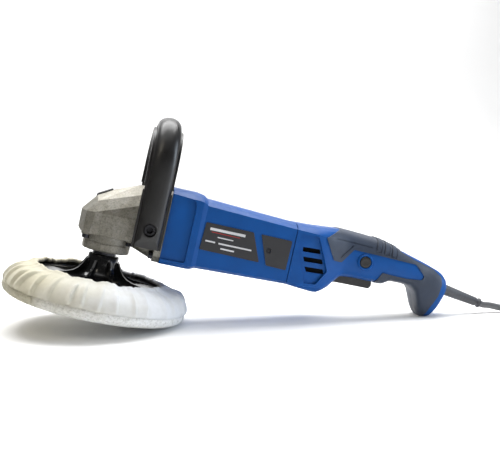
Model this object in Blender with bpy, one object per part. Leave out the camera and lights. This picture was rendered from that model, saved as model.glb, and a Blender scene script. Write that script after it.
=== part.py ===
"""Rotary polisher with a right-angle gear head, a tubular motor housing, a rear handle and a loop handle.

Every piece is drawn in the tool's own frame, in millimetres: x runs back from the spindle axis, z runs up the
spindle from the pad's face, and y = 0 is the symmetry plane. The empty tool_frame then tips the tool onto the
floor, where it rests on the pad's rear rim and the handle's tail, and its scale of lengths becomes metres.
"""

import math

import bmesh
import bpy
from mathutils import Euler, Matrix, Vector

MM = 0.001
GAP = 0.3  # clearance between pieces that touch
SEAM = 0.15  # half the gap along the symmetry plane between two half shells

# Resting pose
TILT = math.radians(12.8)  # tail down
MIDDLE_X = 163.57  # world distance from the spindle's foot to the middle of the tool's length

# Bonnet, pad and backing plate
PAD_RADIUS = 93.0
PAD_FLAT_RADIUS = 80.0
HEM_RADIUS = 66.0
HUB_RADIUS = 15.5
HUB_TOP = 55.0
PLATE_TOP = 31.0
RIB_COUNT = 8

# Gear head
RETAINER_RADIUS = 24.0
RETAINER_BOTTOM = 59.0
RETAINER_TOP = 75.0
RETAINER_SCREWS = ((-22, -13), (22, -13), (-22, 13), (22, 13))
CHAMBER_RADIUS = 21.5
CHAMBER_TOP = 97.6
FLANGE_FRONT = 45.5
HOUSING_REAR = 57.5
FLANGE_SCREWS = ((-31, 67), (31, 67), (-31, 127), (31, 127))
LOOP_BOLT_X = 36.9
LOOP_BOLT_Z = 91.7

# Gear train: a spur pair, then a bevel pair
SPUR_MODULE = 0.9
SPUR_PINION_TEETH = 7
SPUR_WHEEL_TEETH = 28
BEVEL_PINION_TEETH = 10
CROWN_TEETH = 25
BEVEL_MODULE = 1.5
MOTOR_Z = 96.4
SPUR_CENTRES = SPUR_MODULE * (SPUR_PINION_TEETH + SPUR_WHEEL_TEETH) / 2
INTERMEDIATE_Z = MOTOR_Z - SPUR_CENTRES
BEVEL_PINION_RADIUS = BEVEL_MODULE * BEVEL_PINION_TEETH / 2
CROWN_RADIUS = BEVEL_MODULE * CROWN_TEETH / 2
CROWN_PITCH_Z = INTERMEDIATE_Z + BEVEL_PINION_RADIUS
CROWN_BACK_Z = 96.0
FACE_RATIO = 0.68  # small end of a bevel tooth over its large end

# Spindle lock
LOCK_X = -12.3
LOCK_RADIUS = 7.6
LOCK_SLOPE = (121.0 - 112.6) / 14.5

# The collar at the front of the motor housing laps over the gear housing's flange
COLLAR_FRONT = 52.6
COLLAR_SEAT = 61.1

# Motor housing sections: x, bottom, top, half width
HOUSING_SECTIONS = (
    (COLLAR_FRONT, 57.5, 136.6, 39.0),
    (78.0, 57.5, 136.6, 39.0),
    (84.0, 58.0, 135.8, 38.7),
    (88.5, 59.9, 132.3, 36.8),
    (182.0, 62.9, 127.65, 34.4),
)
HOUSING_WALL = 2.8
BRUSH_X = 158.0
COMMUTATOR_RADIUS = 12.0

# Rear handle sections: x, bottom, top, half width, how round the section is from 0 to 1
TAIL_FLAT = (338.0, 347.0)
HANDLE_WALL = 2.6
GRIP_THICKNESS = 1.6
GRIP_GAP = 0.5
GRIP_STATIONS = (229, 234, 242, 276, 288, 295, 318, 325, 331, 338, 347, 353)

# Trigger and lock-on button
TRIGGER_PIVOT = (234.0, 78.0)
LOCK_ON_X = 262.0
LOCK_ON_Z = 103.6
HANDLE_SCREWS = ((224.0, 116.0), (301.0, 106.0))

# Loop handle
LOOP_X = 36.7
LOOP_WIDTH = 29.0
LOOP_OUTER_Y = 50.0
LOOP_INNER_Y = 37.0
LOOP_TOP = 204.0
LOOP_FOOT = 73.5

# Mains cord
CORD_DIAMETER = 7.0
RELIEF_START = (358.0, 91.8)
RELIEF_TIP = (405.5, 84.5)
COIL_CENTRE = (484.0, -46.0)
COIL_RADIUS = 38.5  # to the middle of its two columns of turns
COIL_HALF_WIDTH = 7.2
COIL_HEIGHT = 28.6
PLUG_START = (471.0, 19.0, 17.7)  # where the cord enters it
# World positions, from the spindle's foot, of the cord's middle before and after the coil
CORD_ROUTE = ((427.0, 0.0, 7.6), (438.0, -0.6, 5.0), (449.0, -2.6, 3.8))
TAIL_ROUTE = ((443.0, -11.0, 22.6), (446.5, 2.5, 20.8), (453.0, 13.0, 19.0), (462.0, 18.6, 17.9))


def wool_profile():
    """Outside of the wool face from its middle to the seam with the skirt, as (radius, height)."""
    return [(0, 0), (PAD_FLAT_RADIUS, 0), (86, 1.3), (90, 3.6), (92.5, 7), (PAD_RADIUS, 10), (92, 13)]


SIN, COS = math.sin(TILT), math.cos(TILT)
LIFT = max(SIN * radius - COS * height for radius, height in wool_profile())


def floor_height(x):
    """Height in the tool's frame of the floor below a point at x."""
    return (SIN * x - LIFT) / COS


HANDLE_SECTIONS = (
    (182.3, 62.9, 127.65, 34.4, 0.0),
    (206.0, 61.4, 128.7, 33.4, 0.1),
    (218.0, 62.0, 130.0, 31.0, 0.3),
    (228.0, 66.5, 131.0, 27.0, 0.6),
    (234.0, 70.0, 131.2, 24.5, 0.8),
    (242.0, 83.0, 131.0, 22.5, 1.0),
    (276.0, 84.5, 128.9, 21.5, 1.0),
    (288.0, 85.0, 126.3, 21.0, 1.0),
    (295.0, 89.3, 124.6, 20.5, 1.0),
    (318.0, 88.6, 118.6, 19.5, 1.0),
    (325.0, 82.5, 116.8, 19.0, 1.0),
    (331.0, 68.0, 115.2, 18.3, 1.0),
    (TAIL_FLAT[0], floor_height(TAIL_FLAT[0]), 113.1, 17.8, 1.0),
    (TAIL_FLAT[1], floor_height(TAIL_FLAT[1]), 110.3, 17.0, 1.0),
    (353.0, 68.5, 107.6, 15.5, 1.0),
    (358.0, 80.0, 103.0, 12.5, 1.0),
    (360.5, 86.5, 98.5, 9.0, 1.0),
)


# ---------------------------------------------------------------- mesh helpers


def closed_mesh(bm):
    bmesh.ops.remove_doubles(bm, verts=bm.verts, dist=1e-4)
    bmesh.ops.recalc_face_normals(bm, faces=bm.faces)
    return bm


def turned(profile, steps=24):
    """Solid turned round z from (radius, height) points, either axis to axis or a closed ring."""
    bm = bmesh.new()
    verts = [bm.verts.new((radius, 0, height)) for radius, height in profile]
    pairs = list(zip(verts, verts[1:]))
    if profile[0][0] > 0 or profile[-1][0] > 0:
        pairs.append((verts[-1], verts[0]))
    edges = [bm.edges.new(pair) for pair in pairs]
    bmesh.ops.spin(
        bm, geom=verts + edges, cent=(0, 0, 0), axis=(0, 0, 1), angle=math.tau, steps=steps, use_merge=True
    )
    return closed_mesh(bm)


def ring(inner, outer, low, high, steps=24):
    return turned([(inner, low), (outer, low), (outer, high), (inner, high)], steps)


def rod(radius, low, high, steps=24):
    return turned([(0, low), (radius, low), (radius, high), (0, high)], steps)


def lofted(rings):
    """Solid through rings of equally many points, with flat ends."""
    bm = bmesh.new()
    loops = [[bm.verts.new(point) for point in points] for points in rings]
    for low, high in zip(loops, loops[1:]):
        for i in range(len(low)):
            j = (i + 1) % len(low)
            bm.faces.new((low[i], low[j], high[j], high[i]))
    bm.faces.new(loops[0])
    bm.faces.new(loops[-1])
    return closed_mesh(bm)


def prism(outline, low, high):
    """Solid of an (x, z) outline between two values of y."""
    return lofted([[(x, y, z) for x, z in outline] for y in (low, high)])


def box(low, high):
    outline = ((low[0], low[2]), (high[0], low[2]), (high[0], high[2]), (low[0], high[2]))
    return prism(outline, low[1], high[1])


def hull(points):
    bm = bmesh.new()
    for point in points:
        bm.verts.new(point)
    found = bmesh.ops.convex_hull(bm, input=bm.verts)
    inside = {item for item in found["geom_interior"] if isinstance(item, bmesh.types.BMVert)}
    bmesh.ops.delete(bm, geom=list(inside), context="VERTS")
    return closed_mesh(bm)


def mirrored(points):
    """The points and their mirror images across y = 0."""
    return [(x, side * y, z) for x, y, z in points for side in (-1, 1)]


def octagon(half_width, bottom, top, corner):
    """(y, z) outline of a rectangle with its corners cut off."""
    inner = half_width - corner
    low, high = bottom + corner, top - corner
    right = ((inner, bottom), (half_width, low), (half_width, high), (inner, top))
    return ((-inner, bottom), *right, (-inner, top), (-half_width, high), (-half_width, low))


def along_x(bm, z=0.0):
    """Lays a solid drawn round z along +x at height z."""
    turn = Euler((0, math.pi / 2, 0)).to_matrix().to_4x4()
    bmesh.ops.transform(bm, matrix=Matrix.Translation((0, 0, z)) @ turn, verts=bm.verts)
    return bm


def along_y(bm, x=0.0, z=0.0):
    """Lays a solid drawn round z along +y through (x, z)."""
    turn = Euler((-math.pi / 2, 0, 0)).to_matrix().to_4x4()
    bmesh.ops.transform(bm, matrix=Matrix.Translation((x, 0, z)) @ turn, verts=bm.verts)
    return bm


def moved(bm, x=0.0, y=0.0, z=0.0):
    bmesh.ops.translate(bm, vec=(x, y, z), verts=bm.verts)
    return bm


def band(bm, low, high):
    """Faces between two rings, where one has a whole number of points for each point of the other."""
    if len(low) < len(high):
        low, high = high, low
    share = len(low) // len(high)
    for i in range(len(high)):
        j = (i + 1) % len(high)
        for k in range(share):
            a = i * share + k
            bm.faces.new((low[a], low[(a + 1) % len(low)], high[i]))
        bm.faces.new((low[((i + 1) * share) % len(low)], high[j], high[i]))


# ---------------------------------------------------------------- object helpers


def finish(name, color, roughness, metallic=0.0):
    material = bpy.data.materials.new(name)
    material.use_nodes = True
    shader = material.node_tree.nodes["Principled BSDF"]
    shader.inputs["Base Color"].default_value = (*color, 1.0)
    shader.inputs["Roughness"].default_value = roughness
    shader.inputs["Metallic"].default_value = metallic
    material.diffuse_color = (*color, 1.0)
    return material


def empty(name, parent=None, at=(0, 0, 0)):
    made = bpy.data.objects.new(name, None)
    made.empty_display_size = 0.02
    made.parent = parent
    made.location = Vector(at) * MM
    bpy.context.scene.collection.objects.link(made)
    return made


def part(name, bm, look, parent, origin=(0, 0, 0), smooth_angle=35):
    """Makes the object, with its origin at this point of its parent's frame, where the mesh is drawn too."""
    mesh = bpy.data.meshes.new(name)
    bmesh.ops.transform(bm, matrix=Matrix.Scale(MM, 4) @ Matrix.Translation(-Vector(origin)), verts=bm.verts)
    bm.to_mesh(mesh)
    bm.free()
    mesh.shade_smooth()
    mesh.set_sharp_from_angle(angle=math.radians(smooth_angle))
    mesh.materials.append(look)
    made = bpy.data.objects.new(name, mesh)
    made.parent = parent
    made.location = Vector(origin) * MM
    bpy.context.scene.collection.objects.link(made)
    return made


def helper(name, bm, parent):
    """A cutter or a piece to be joined on, which isn't part of the polisher by itself."""
    made = part(name, bm, LOOKS["helper"], parent)
    made.hide_render = True
    made.display_type = "WIRE"
    return made


def combine(target, operation, *others):
    for other in others:
        modifier = target.modifiers.new(f"{operation.lower()} {other.name}", "BOOLEAN")
        modifier.operation = operation
        modifier.object = other


def cut(target, *others):
    combine(target, "DIFFERENCE", *others)


def join(target, *others):
    combine(target, "UNION", *others)


LOOKS = {}


def make_looks():
    for name, color, roughness, metallic in (
        ("helper", (0.5, 0.5, 0.5), 0.5, 0.0),
        ("blue_plastic", (0.012, 0.09, 0.33), 0.32, 0.0),
        ("soft_rubber", (0.03, 0.04, 0.06), 0.6, 0.0),
        ("black_plastic", (0.01, 0.01, 0.012), 0.35, 0.0),
        ("cast_aluminium", (0.33, 0.32, 0.29), 0.45, 0.9),
        ("steel", (0.5, 0.5, 0.52), 0.3, 1.0),
        ("dark_steel", (0.04, 0.04, 0.045), 0.4, 0.8),
        ("laminated_steel", (0.22, 0.22, 0.24), 0.5, 0.9),
        ("copper", (0.6, 0.25, 0.1), 0.35, 1.0),
        ("brass", (0.6, 0.45, 0.16), 0.35, 1.0),
        ("carbon", (0.02, 0.02, 0.02), 0.7, 0.0),
        ("foam", (0.2, 0.2, 0.2), 0.95, 0.0),
        ("wool", (0.62, 0.6, 0.53), 0.95, 0.0),
        ("cotton", (0.78, 0.77, 0.72), 0.9, 0.0),
        ("cord_rubber", (0.035, 0.036, 0.04), 0.55, 0.0),
    ):
        LOOKS[name] = finish(name, color, roughness, metallic)


# ---------------------------------------------------------------- bonnet, pad and spindle


def make_backing_plate(spindle):
    profile = [
        (0, 26),
        (77, 26),
        (79, 27.3),
        (60, 30.6),
        (28, PLATE_TOP),
        (21, 34),
        (17, 38),
        (HUB_RADIUS, 43),
        (HUB_RADIUS, HUB_TOP - 1),
        (HUB_RADIUS - 1, HUB_TOP),
        (7.1, HUB_TOP),
        (7.1, 35),
        (0, 35),
    ]
    plate = part("backing_plate", turned(profile, 28), LOOKS["black_plastic"], spindle)
    outline = ((12, 29), (52, 29), (50, 32.5), (32, 34.5), (22, 39), (17.5, 46), (12, 46))
    for i in range(RIB_COUNT):
        rib = prism(outline, -1.3, 1.3)
        turn = Matrix.Rotation((i + 0.5) * math.tau / RIB_COUNT, 3, "Z")
        bmesh.ops.rotate(rib, cent=(0, 0, 0), matrix=turn, verts=rib.verts)
        join(plate, helper(f"rib_{i}", rib, spindle))


def make_pad(spindle):
    foam = [(0, 7), (80, 7), (84, 10), (84, 20), (77, 25.7), (0, 25.7)]
    part("foam_pad", turned(foam, 24), LOOKS["foam"], spindle)
    wool = wool_profile() + [(84.6, 13), (84.6, 9.6), (80.4, 6.7), (0, 6.7)]
    part("wool_face", turned(wool, 40), LOOKS["wool"], spindle)
    skirt_outside = [(92, 13.4), (91.4, 19), (88, 26), (80, 31.5), (HEM_RADIUS, 34.5)]
    skirt_inside = [(HEM_RADIUS, 31.9), (79.8, 28.6), (85.8, 23), (88.8, 13.4)]
    part("bonnet_skirt", turned(skirt_outside + skirt_inside, 40), LOOKS["cotton"], spindle)


def make_spindle(spindle):
    profile = [
        (0, 36),
        (6.0, 36),
        (6.8, 37),
        (6.8, 55.4),
        (11.8, 55.4),
        (11.8, 58.6),
        (8.0, 58.6),
        (8.0, 60.8),
        (5.9, 60.8),
        (5.9, 98),
        (4.0, 98),
        (4.0, 105.5),
        (0, 105.5),
    ]
    part("spindle_shaft", turned(profile, 14), LOOKS["steel"], spindle)


# ---------------------------------------------------------------- gears


def tooth_ring(teeth, tooth_at_start, root, tip, widths=(0.62, 0.30)):
    """Gear outline as (radius, extra, angle) corners.

    root and tip are (radius, extra), and widths are shares of a pitch.
    """
    corners = []
    pitch = math.tau / teeth
    shift = 0.0 if tooth_at_start else 0.5
    for tooth in range(teeth):
        middle = (tooth + shift) * pitch
        for (radius, extra), offset in (
            (root, -widths[0] / 2),
            (tip, -widths[1] / 2),
            (tip, widths[1] / 2),
            (root, widths[0] / 2),
        ):
            corners.append((radius, extra, middle + offset * pitch))
    return corners


def stepped_shaft(toothed, steps, sides, start_angle, end_first):
    """Closed solid of a gear's rings with plain steps behind it and a small step in front, all round x."""
    bm = bmesh.new()
    rings = []
    for radius, x in end_first:
        rings.append(plain_ring(bm, radius, x, sides, start_angle))
    for points in toothed:
        rings.append([bm.verts.new(point) for point in points])
    for radius, x in steps:
        rings.append(plain_ring(bm, radius, x, sides, start_angle))
    for low, high in zip(rings, rings[1:]):
        band(bm, low, high)
    bm.faces.new(rings[0])
    bm.faces.new(rings[-1])
    return closed_mesh(bm)


def plain_ring(bm, radius, x, sides, start_angle):
    angles = [start_angle + math.tau * i / sides for i in range(sides)]
    return [bm.verts.new((x, radius * math.sin(a), radius * math.cos(a))) for a in angles]


def make_reduction_gear(intermediate):
    pitch_radius = SPUR_MODULE * SPUR_WHEEL_TEETH / 2
    corners = tooth_ring(SPUR_WHEEL_TEETH, True, (pitch_radius - 0.95, 0), (pitch_radius + 0.7, 0))
    bore = 6.3
    bm = bmesh.new()
    teeth, bores = [], []
    for x in (43.0, 51.0):
        teeth.append([bm.verts.new((x, r * math.sin(a), r * math.cos(a))) for r, _, a in corners])
        angles = [math.tau * (i - 0.155) / SPUR_WHEEL_TEETH for i in range(SPUR_WHEEL_TEETH)]
        bores.append([bm.verts.new((x, bore * math.sin(a), bore * math.cos(a))) for a in angles])
    band(bm, teeth[0], teeth[1])
    band(bm, bores[0], bores[1])
    band(bm, teeth[0], bores[0])
    band(bm, teeth[1], bores[1])
    part("reduction_gear", closed_mesh(bm), LOOKS["steel"], intermediate)


def make_intermediate_shaft(intermediate):
    """Shaft with its bevel pinion in one piece. The pinion's teeth run towards the apex at x = 0."""
    slant = math.hypot(CROWN_RADIUS, BEVEL_PINION_RADIUS)
    radial, axial = CROWN_RADIUS / slant, -BEVEL_PINION_RADIUS / slant
    addendum, dedendum = 1.0, 1.45
    tip = (BEVEL_PINION_RADIUS + radial * addendum, CROWN_RADIUS + axial * addendum)
    root = (BEVEL_PINION_RADIUS - radial * dedendum, CROWN_RADIUS - axial * dedendum)
    corners = tooth_ring(BEVEL_PINION_TEETH, False, root, tip, (0.60, 0.26))
    toothed = []
    for scale in (FACE_RATIO, 1.0):
        toothed.append([(x * scale, r * scale * math.sin(a), r * scale * math.cos(a)) for r, x, a in corners])
    steps = (
        (6.6, 20.2),
        (6.6, 23.4),
        (4.9, 23.4),
        (4.9, 42.0),
        (6.0, 42.0),
        (6.0, 52.0),
        (3.9, 52.0),
        (3.9, 57.3),
    )
    front = ((2.6, CROWN_RADIUS * FACE_RATIO - 0.4),)
    shaft = stepped_shaft(toothed, steps, BEVEL_PINION_TEETH, corners[1][2], front)
    part("intermediate_shaft", shaft, LOOKS["steel"], intermediate)


def make_crown_gear(spindle):
    """Bevel wheel with its teeth facing down onto the pinion, and four lock holes in its back."""
    slant = math.hypot(CROWN_RADIUS, BEVEL_PINION_RADIUS)
    radial, axial = BEVEL_PINION_RADIUS / slant, -CROWN_RADIUS / slant
    addendum, dedendum = 1.0, 1.45
    tip = (CROWN_RADIUS + radial * addendum, BEVEL_PINION_RADIUS + axial * addendum)
    root = (CROWN_RADIUS - radial * dedendum, BEVEL_PINION_RADIUS - axial * dedendum)
    corners = tooth_ring(CROWN_TEETH, True, root, tip, (0.60, 0.26))
    bm = bmesh.new()

    def toothed(scale):
        return [
            bm.verts.new((r * scale * math.cos(a), r * scale * math.sin(a), INTERMEDIATE_Z + h * scale))
            for r, h, a in corners
        ]

    def plain(radius, z):
        angles = [math.tau * (i - 0.15) / CROWN_TEETH for i in range(CROWN_TEETH)]
        return [bm.verts.new((radius * math.cos(a), radius * math.sin(a), z)) for a in angles]

    outer, inner = toothed(1.0), toothed(FACE_RATIO)
    hub_top, hub_foot = plain(9.6, CROWN_PITCH_Z), plain(9.6, 72.5)
    bore_foot, bore_top = plain(6.2, 72.5), plain(6.2, CROWN_BACK_Z)
    back = plain(18.6, CROWN_BACK_Z)
    rim = plain(19.6, 90.6)
    for low, high in (
        (outer, inner),
        (inner, hub_top),
        (hub_top, hub_foot),
        (hub_foot, bore_foot),
        (bore_foot, bore_top),
        (bore_top, back),
        (back, rim),
        (rim, outer),
    ):
        band(bm, low, high)
    gear = part("crown_gear", closed_mesh(bm), LOOKS["steel"], spindle)
    for i in range(4):
        hole = rod(2.9, CROWN_BACK_Z - 4.0, CROWN_BACK_Z + 2, 8)
        angle = math.pi + i * math.pi / 2
        radius = -LOCK_X
        place = (radius * math.cos(angle), radius * math.sin(angle))
        cut(gear, helper(f"lock_hole_{i}", moved(hole, *place), spindle))


def make_armature(armature):
    pitch_radius = SPUR_MODULE * SPUR_PINION_TEETH / 2
    root, tip = (pitch_radius - 1.0, 0), (pitch_radius + 0.7, 0)
    corners = tooth_ring(SPUR_PINION_TEETH, True, root, tip, (0.62, 0.24))
    # The tooth at angle 0 is turned half a pitch plus half a turn, so that a gap faces the wheel below
    turn = math.pi + math.pi / SPUR_PINION_TEETH
    corners = [(r, e, a + turn) for r, e, a in corners]
    toothed = [[(x, r * math.sin(a), r * math.cos(a)) for r, _, a in corners] for x in (42.0, 52.0)]
    steps = ((3.9, 53.0), (3.9, 69.2), (5.4, 69.2), (5.4, 169.8), (3.4, 169.8), (3.4, 178.0))
    shaft = stepped_shaft(toothed, steps, 2 * SPUR_PINION_TEETH, corners[0][2], ())
    part("armature_shaft", shaft, LOOKS["steel"], armature)
    part("rotor_core", along_x(ring(5.7, 21.0, 97, 141, 24)), LOOKS["laminated_steel"], armature)
    part("commutator", along_x(ring(5.7, COMMUTATOR_RADIUS, 150, 166, 20)), LOOKS["copper"], armature)
    fan = part("cooling_fan", along_x(ring(5.7, 29.0, 71.5, 74, 24)), LOOKS["black_plastic"], armature)
    for i in range(8):
        blade = box((73.5, -0.9, 12), (84, 0.9, 28))
        turn = Matrix.Rotation(i * math.tau / 8, 3, "X")
        bmesh.ops.rotate(blade, cent=(0, 0, 0), matrix=turn, verts=blade.verts)
        join(fan, helper(f"blade_{i}", blade, armature))


# ---------------------------------------------------------------- gear head


def make_gear_housing(tool):
    """Cast housing: a faceted nose, a box that widens back to the motor flange, and two handle bosses."""
    nose = mirrored(
        [
            (-31, 10, 79),
            (-31, 10, 96.8),
            (-28.5, 10, 75.0),
            (-25.5, 24, 75.0),
            (-25.5, 23.5, 96),
            (-19, 28, 75.0),
            (-17, 28, 97),
            (-18.5, 9, 112.6),
            (-17, 21, 108),
            (24.3, 28, 75.0),
            (24.3, 28, 97),
            (22, 24.5, 111),
            (22, 17, 121.6),
            (-4, 7, 121),
            (20, 7, 130.8),
            (24.3, 7, 131.5),
            (24.3, 17, 122.4),
        ]
    )
    housing = part("gear_housing", hull(nose), LOOKS["cast_aluminium"], tool, smooth_angle=20)
    rear = mirrored(
        [
            (21, 27.2, 76),
            (21, 27.2, 97),
            (21, 24.0, 111),
            (21, 16.5, 121.0),
            (21, 6.5, 130.4),
            (30, 7, 132.4),
            (25, 20, 69.5),
            (44, 22, 62.4),
            (53.5, 24, 62.4),
            (53.5, 26.8, 68),
            (53.5, 26.8, 122),
            (53.5, 20, 131.8),
        ]
    )
    flange = [(x, y, z) for x in (FLANGE_FRONT, HOUSING_REAR) for y, z in octagon(35.8, 61, 132.6, 6)]
    join(housing, helper("housing_rear", hull(rear), tool), helper("housing_flange", hull(flange), tool))
    for side in (-1, 1):
        boss = rod(11, 24, 36.7, 16) if side > 0 else rod(11, -36.7, -24, 16)
        join(housing, helper(f"handle_boss_{side}", along_y(boss, LOOP_BOLT_X, LOOP_BOLT_Z), tool))
        thread = rod(4.3, 24.4, 40, 10) if side > 0 else rod(4.3, -40, -24.4, 10)
        cut(housing, helper(f"handle_thread_{side}", along_y(thread, LOOP_BOLT_X, LOOP_BOLT_Z), tool))
    chamber = rod(CHAMBER_RADIUS, 60, CHAMBER_TOP, 24)
    retainer_seat = box((-40, -40, 50), (24.5, 40, RETAINER_TOP + GAP))
    wheel_room = box((32, -17, 66.2), (60, 17, 104))
    top_seat = rod(6.3, 90, 107, 16)
    pin_bore = moved(rod(2.6, 90, 112, 8), LOCK_X)
    pocket = moved(rod(LOCK_RADIUS + 0.5, 105.4, 130, 20), LOCK_X)
    shaft_bore = along_x(rod(9.3, 10, 40, 20), INTERMEDIATE_Z)
    for name, bm in (
        ("chamber", chamber),
        ("retainer_seat", retainer_seat),
        ("wheel_room", wheel_room),
        ("top_seat", top_seat),
        ("pin_bore", pin_bore),
        ("pocket", pocket),
        ("shaft_bore", shaft_bore),
    ):
        cut(housing, helper(name, bm, tool))
    for i, (x, y) in enumerate(RETAINER_SCREWS):
        cut(housing, helper(f"retainer_thread_{i}", moved(rod(2.1, 70, 86, 8), x, y), tool))
        if x > 0:
            cut(housing, helper(f"ear_room_{i}", moved(rod(5.6, 55, RETAINER_TOP + GAP, 12), x, y), tool))
    for i, (y, z) in enumerate(FLANGE_SCREWS):
        cut(housing, helper(f"flange_hole_{i}", moved(along_x(rod(2.3, 40, 60, 8)), 0, y, z), tool))


def make_retainer(tool):
    """Ring that holds the lower spindle bearing, with an ear and a scallop at each screw."""
    profile = [
        (8.7, RETAINER_BOTTOM),
        (22.6, RETAINER_BOTTOM),
        (RETAINER_RADIUS, 60.4),
        (RETAINER_RADIUS, RETAINER_TOP),
        (20.8, RETAINER_TOP),
        (20.8, 71.2),
        (16.3, 71.2),
        (16.3, 60.6),
        (8.7, 60.6),
    ]
    retainer = part("bearing_retainer", turned(profile, 28), LOOKS["cast_aluminium"], tool)
    for i, (x, y) in enumerate(RETAINER_SCREWS):
        join(retainer, helper(f"ear_{i}", moved(rod(5.0, 73.0, RETAINER_TOP, 10), x, y), tool))
    for i, (x, y) in enumerate(RETAINER_SCREWS):
        cut(retainer, helper(f"scallop_{i}", moved(rod(4.2, 50, 73.0, 8), x, y), tool))
        cut(retainer, helper(f"ear_hole_{i}", moved(rod(2.3, 72, 77, 8), x, y), tool))
        screw = turned([(0, 69.2), (3.7, 69.2), (3.7, 72.7), (1.8, 72.7), (1.8, 84), (0, 84)], 8)
        part(f"retainer_screw_{i + 1}", moved(screw, x, y), LOOKS["dark_steel"], tool)
    cut(retainer, helper("pinion_room", along_x(rod(9.2, 10, 30, 14), INTERMEDIATE_Z), tool))


def make_bearing_plate(tool):
    """Plate between gear housing and motor, which seats one bearing on each side."""
    flange = lofted([[(x, y, z) for y, z in octagon(35.4, 61.5, 132.5, 5.4)] for x in (57.8, 60.8)])
    plate = part("bearing_plate", flange, LOOKS["cast_aluminium"], tool, smooth_angle=20)
    join(plate, helper("front_boss", along_x(rod(10.4, 52.2, 58.5, 16), INTERMEDIATE_Z), tool))
    join(plate, helper("rear_boss", along_x(rod(13.6, 60, 69, 20), MOTOR_Z), tool))
    cut(plate, helper("front_seat", along_x(rod(8.3, 50, 57.9, 16), INTERMEDIATE_Z), tool))
    cut(plate, helper("rear_seat", along_x(rod(11.3, 61.5, 72, 20), MOTOR_Z), tool))
    cut(plate, helper("shaft_hole", along_x(rod(5.2, 50, 72, 10), MOTOR_Z), tool))
    for i, (y, z) in enumerate(FLANGE_SCREWS):
        cut(plate, helper(f"plate_hole_{i}", moved(along_x(rod(2.3, 55, 63, 8)), 0, y, z), tool))
        screw = turned([(0, 41.2), (3.6, 41.2), (3.6, 45.2), (1.9, 45.2), (1.9, 74), (0, 74)], 8)
        part(f"gearbox_screw_{i + 1}", moved(along_x(screw), 0, y, z), LOOKS["dark_steel"], tool)


def make_bearings(tool):
    for name, inner, outer, low, high, z in (
        ("intermediate_bearing_front", 5.2, 9.0, 24.0, 29.0, INTERMEDIATE_Z),
        ("intermediate_bearing_rear", 4.2, 8.0, 52.6, 57.4, INTERMEDIATE_Z),
        ("armature_bearing_front", 4.2, 11.0, 61.8, 68.8, MOTOR_Z),
        ("armature_bearing_rear", 3.7, 11.0, 170.4, 177.4, MOTOR_Z),
    ):
        part(name, along_x(ring(inner, outer, low, high, 16), z), LOOKS["steel"], tool)
    part("spindle_bearing_lower", ring(6.2, 16.0, 60.9, 70.9, 16), LOOKS["steel"], tool)
    part("spindle_bearing_upper", ring(4.3, 6.0, 99.0, 105.2, 16), LOOKS["steel"], tool)


def make_spindle_lock(tool):
    """Button in the sloping nose with a pin that drops into a hole of the crown gear."""
    foot = 109.0
    pin_tip = CROWN_BACK_Z + 0.8

    def roof(x):
        return 118.4 + LOCK_SLOPE * (x - LOCK_X)

    angles = [math.tau * i / 20 for i in range(20)]
    low = [(LOCK_X + LOCK_RADIUS * math.cos(a), LOCK_RADIUS * math.sin(a), foot) for a in angles]
    edge = [(x, y, roof(x) - 0.8) for x, y, _ in low]
    crown = [
        (LOCK_X + (LOCK_RADIUS - 0.9) * math.cos(a), (LOCK_RADIUS - 0.9) * math.sin(a), 0.0) for a in angles
    ]
    crown = [(x, y, roof(x)) for x, y, _ in crown]
    body = lofted([low, edge, crown])
    button = part("spindle_lock_button", body, LOOKS["black_plastic"], tool, origin=(LOCK_X, 0, foot))
    join(button, helper("lock_pin", moved(rod(2.2, pin_tip, foot + 2, 8), LOCK_X), tool))


# ---------------------------------------------------------------- motor


def half_section(bottom, top, half_width, softness, wall=0.0):
    """Half of a body section from its top middle to its bottom middle, as (y, z) with y >= 0."""
    square = ((0, 0), (0.58, 0), (0.8, 0.03), (1.0, 0.085), (1.0, 0.94), (0.85, 0.985), (0.58, 1.0), (0, 1.0))
    soft = ((0, 0), (0.45, 0.01), (0.82, 0.10), (1.0, 0.33), (1.0, 0.72), (0.85, 0.92), (0.45, 1.0), (0, 1.0))
    points = []
    for (y0, z0), (y1, z1) in zip(square, soft):
        across = y0 + (y1 - y0) * softness
        down = z0 + (z1 - z0) * softness
        y = across * (half_width - wall)
        z = (top - wall) + (bottom - top + 2 * wall) * down
        points.append((y, z))
    return points


def full_section(x, bottom, top, half_width, softness=0.0, wall=0.0):
    half = half_section(bottom, top, half_width, softness, wall)
    return [(x, y, z) for y, z in half] + [(x, -y, z) for y, z in reversed(half[1:-1])]


def between(table, x):
    """The row of a table of sections at x, read off between its neighbours."""
    rows = sorted(table)
    for low, high in zip(rows, rows[1:]):
        if low[0] <= x <= high[0]:
            share = (x - low[0]) / (high[0] - low[0])
            return [a + (b - a) * share for a, b in zip(low, high)]
    return list(rows[0] if x < rows[0][0] else rows[-1])


def side_panel(corners, side, clearance, thickness):
    """Plate that follows the motor housing's flat side, given its (x, z) corners."""
    rings = []
    for out in (clearance, clearance + thickness):
        rings.append([(x, side * (between(HOUSING_SECTIONS, x)[3] + out), z) for x, z in corners])
    return lofted(rings)


def brush_box(start, end, half_length, half_height):
    """Box around the brushes' middle that runs between two values of y."""
    return box(
        (BRUSH_X - half_length, min(start, end), MOTOR_Z - half_height),
        (BRUSH_X + half_length, max(start, end), MOTOR_Z + half_height),
    )


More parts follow.
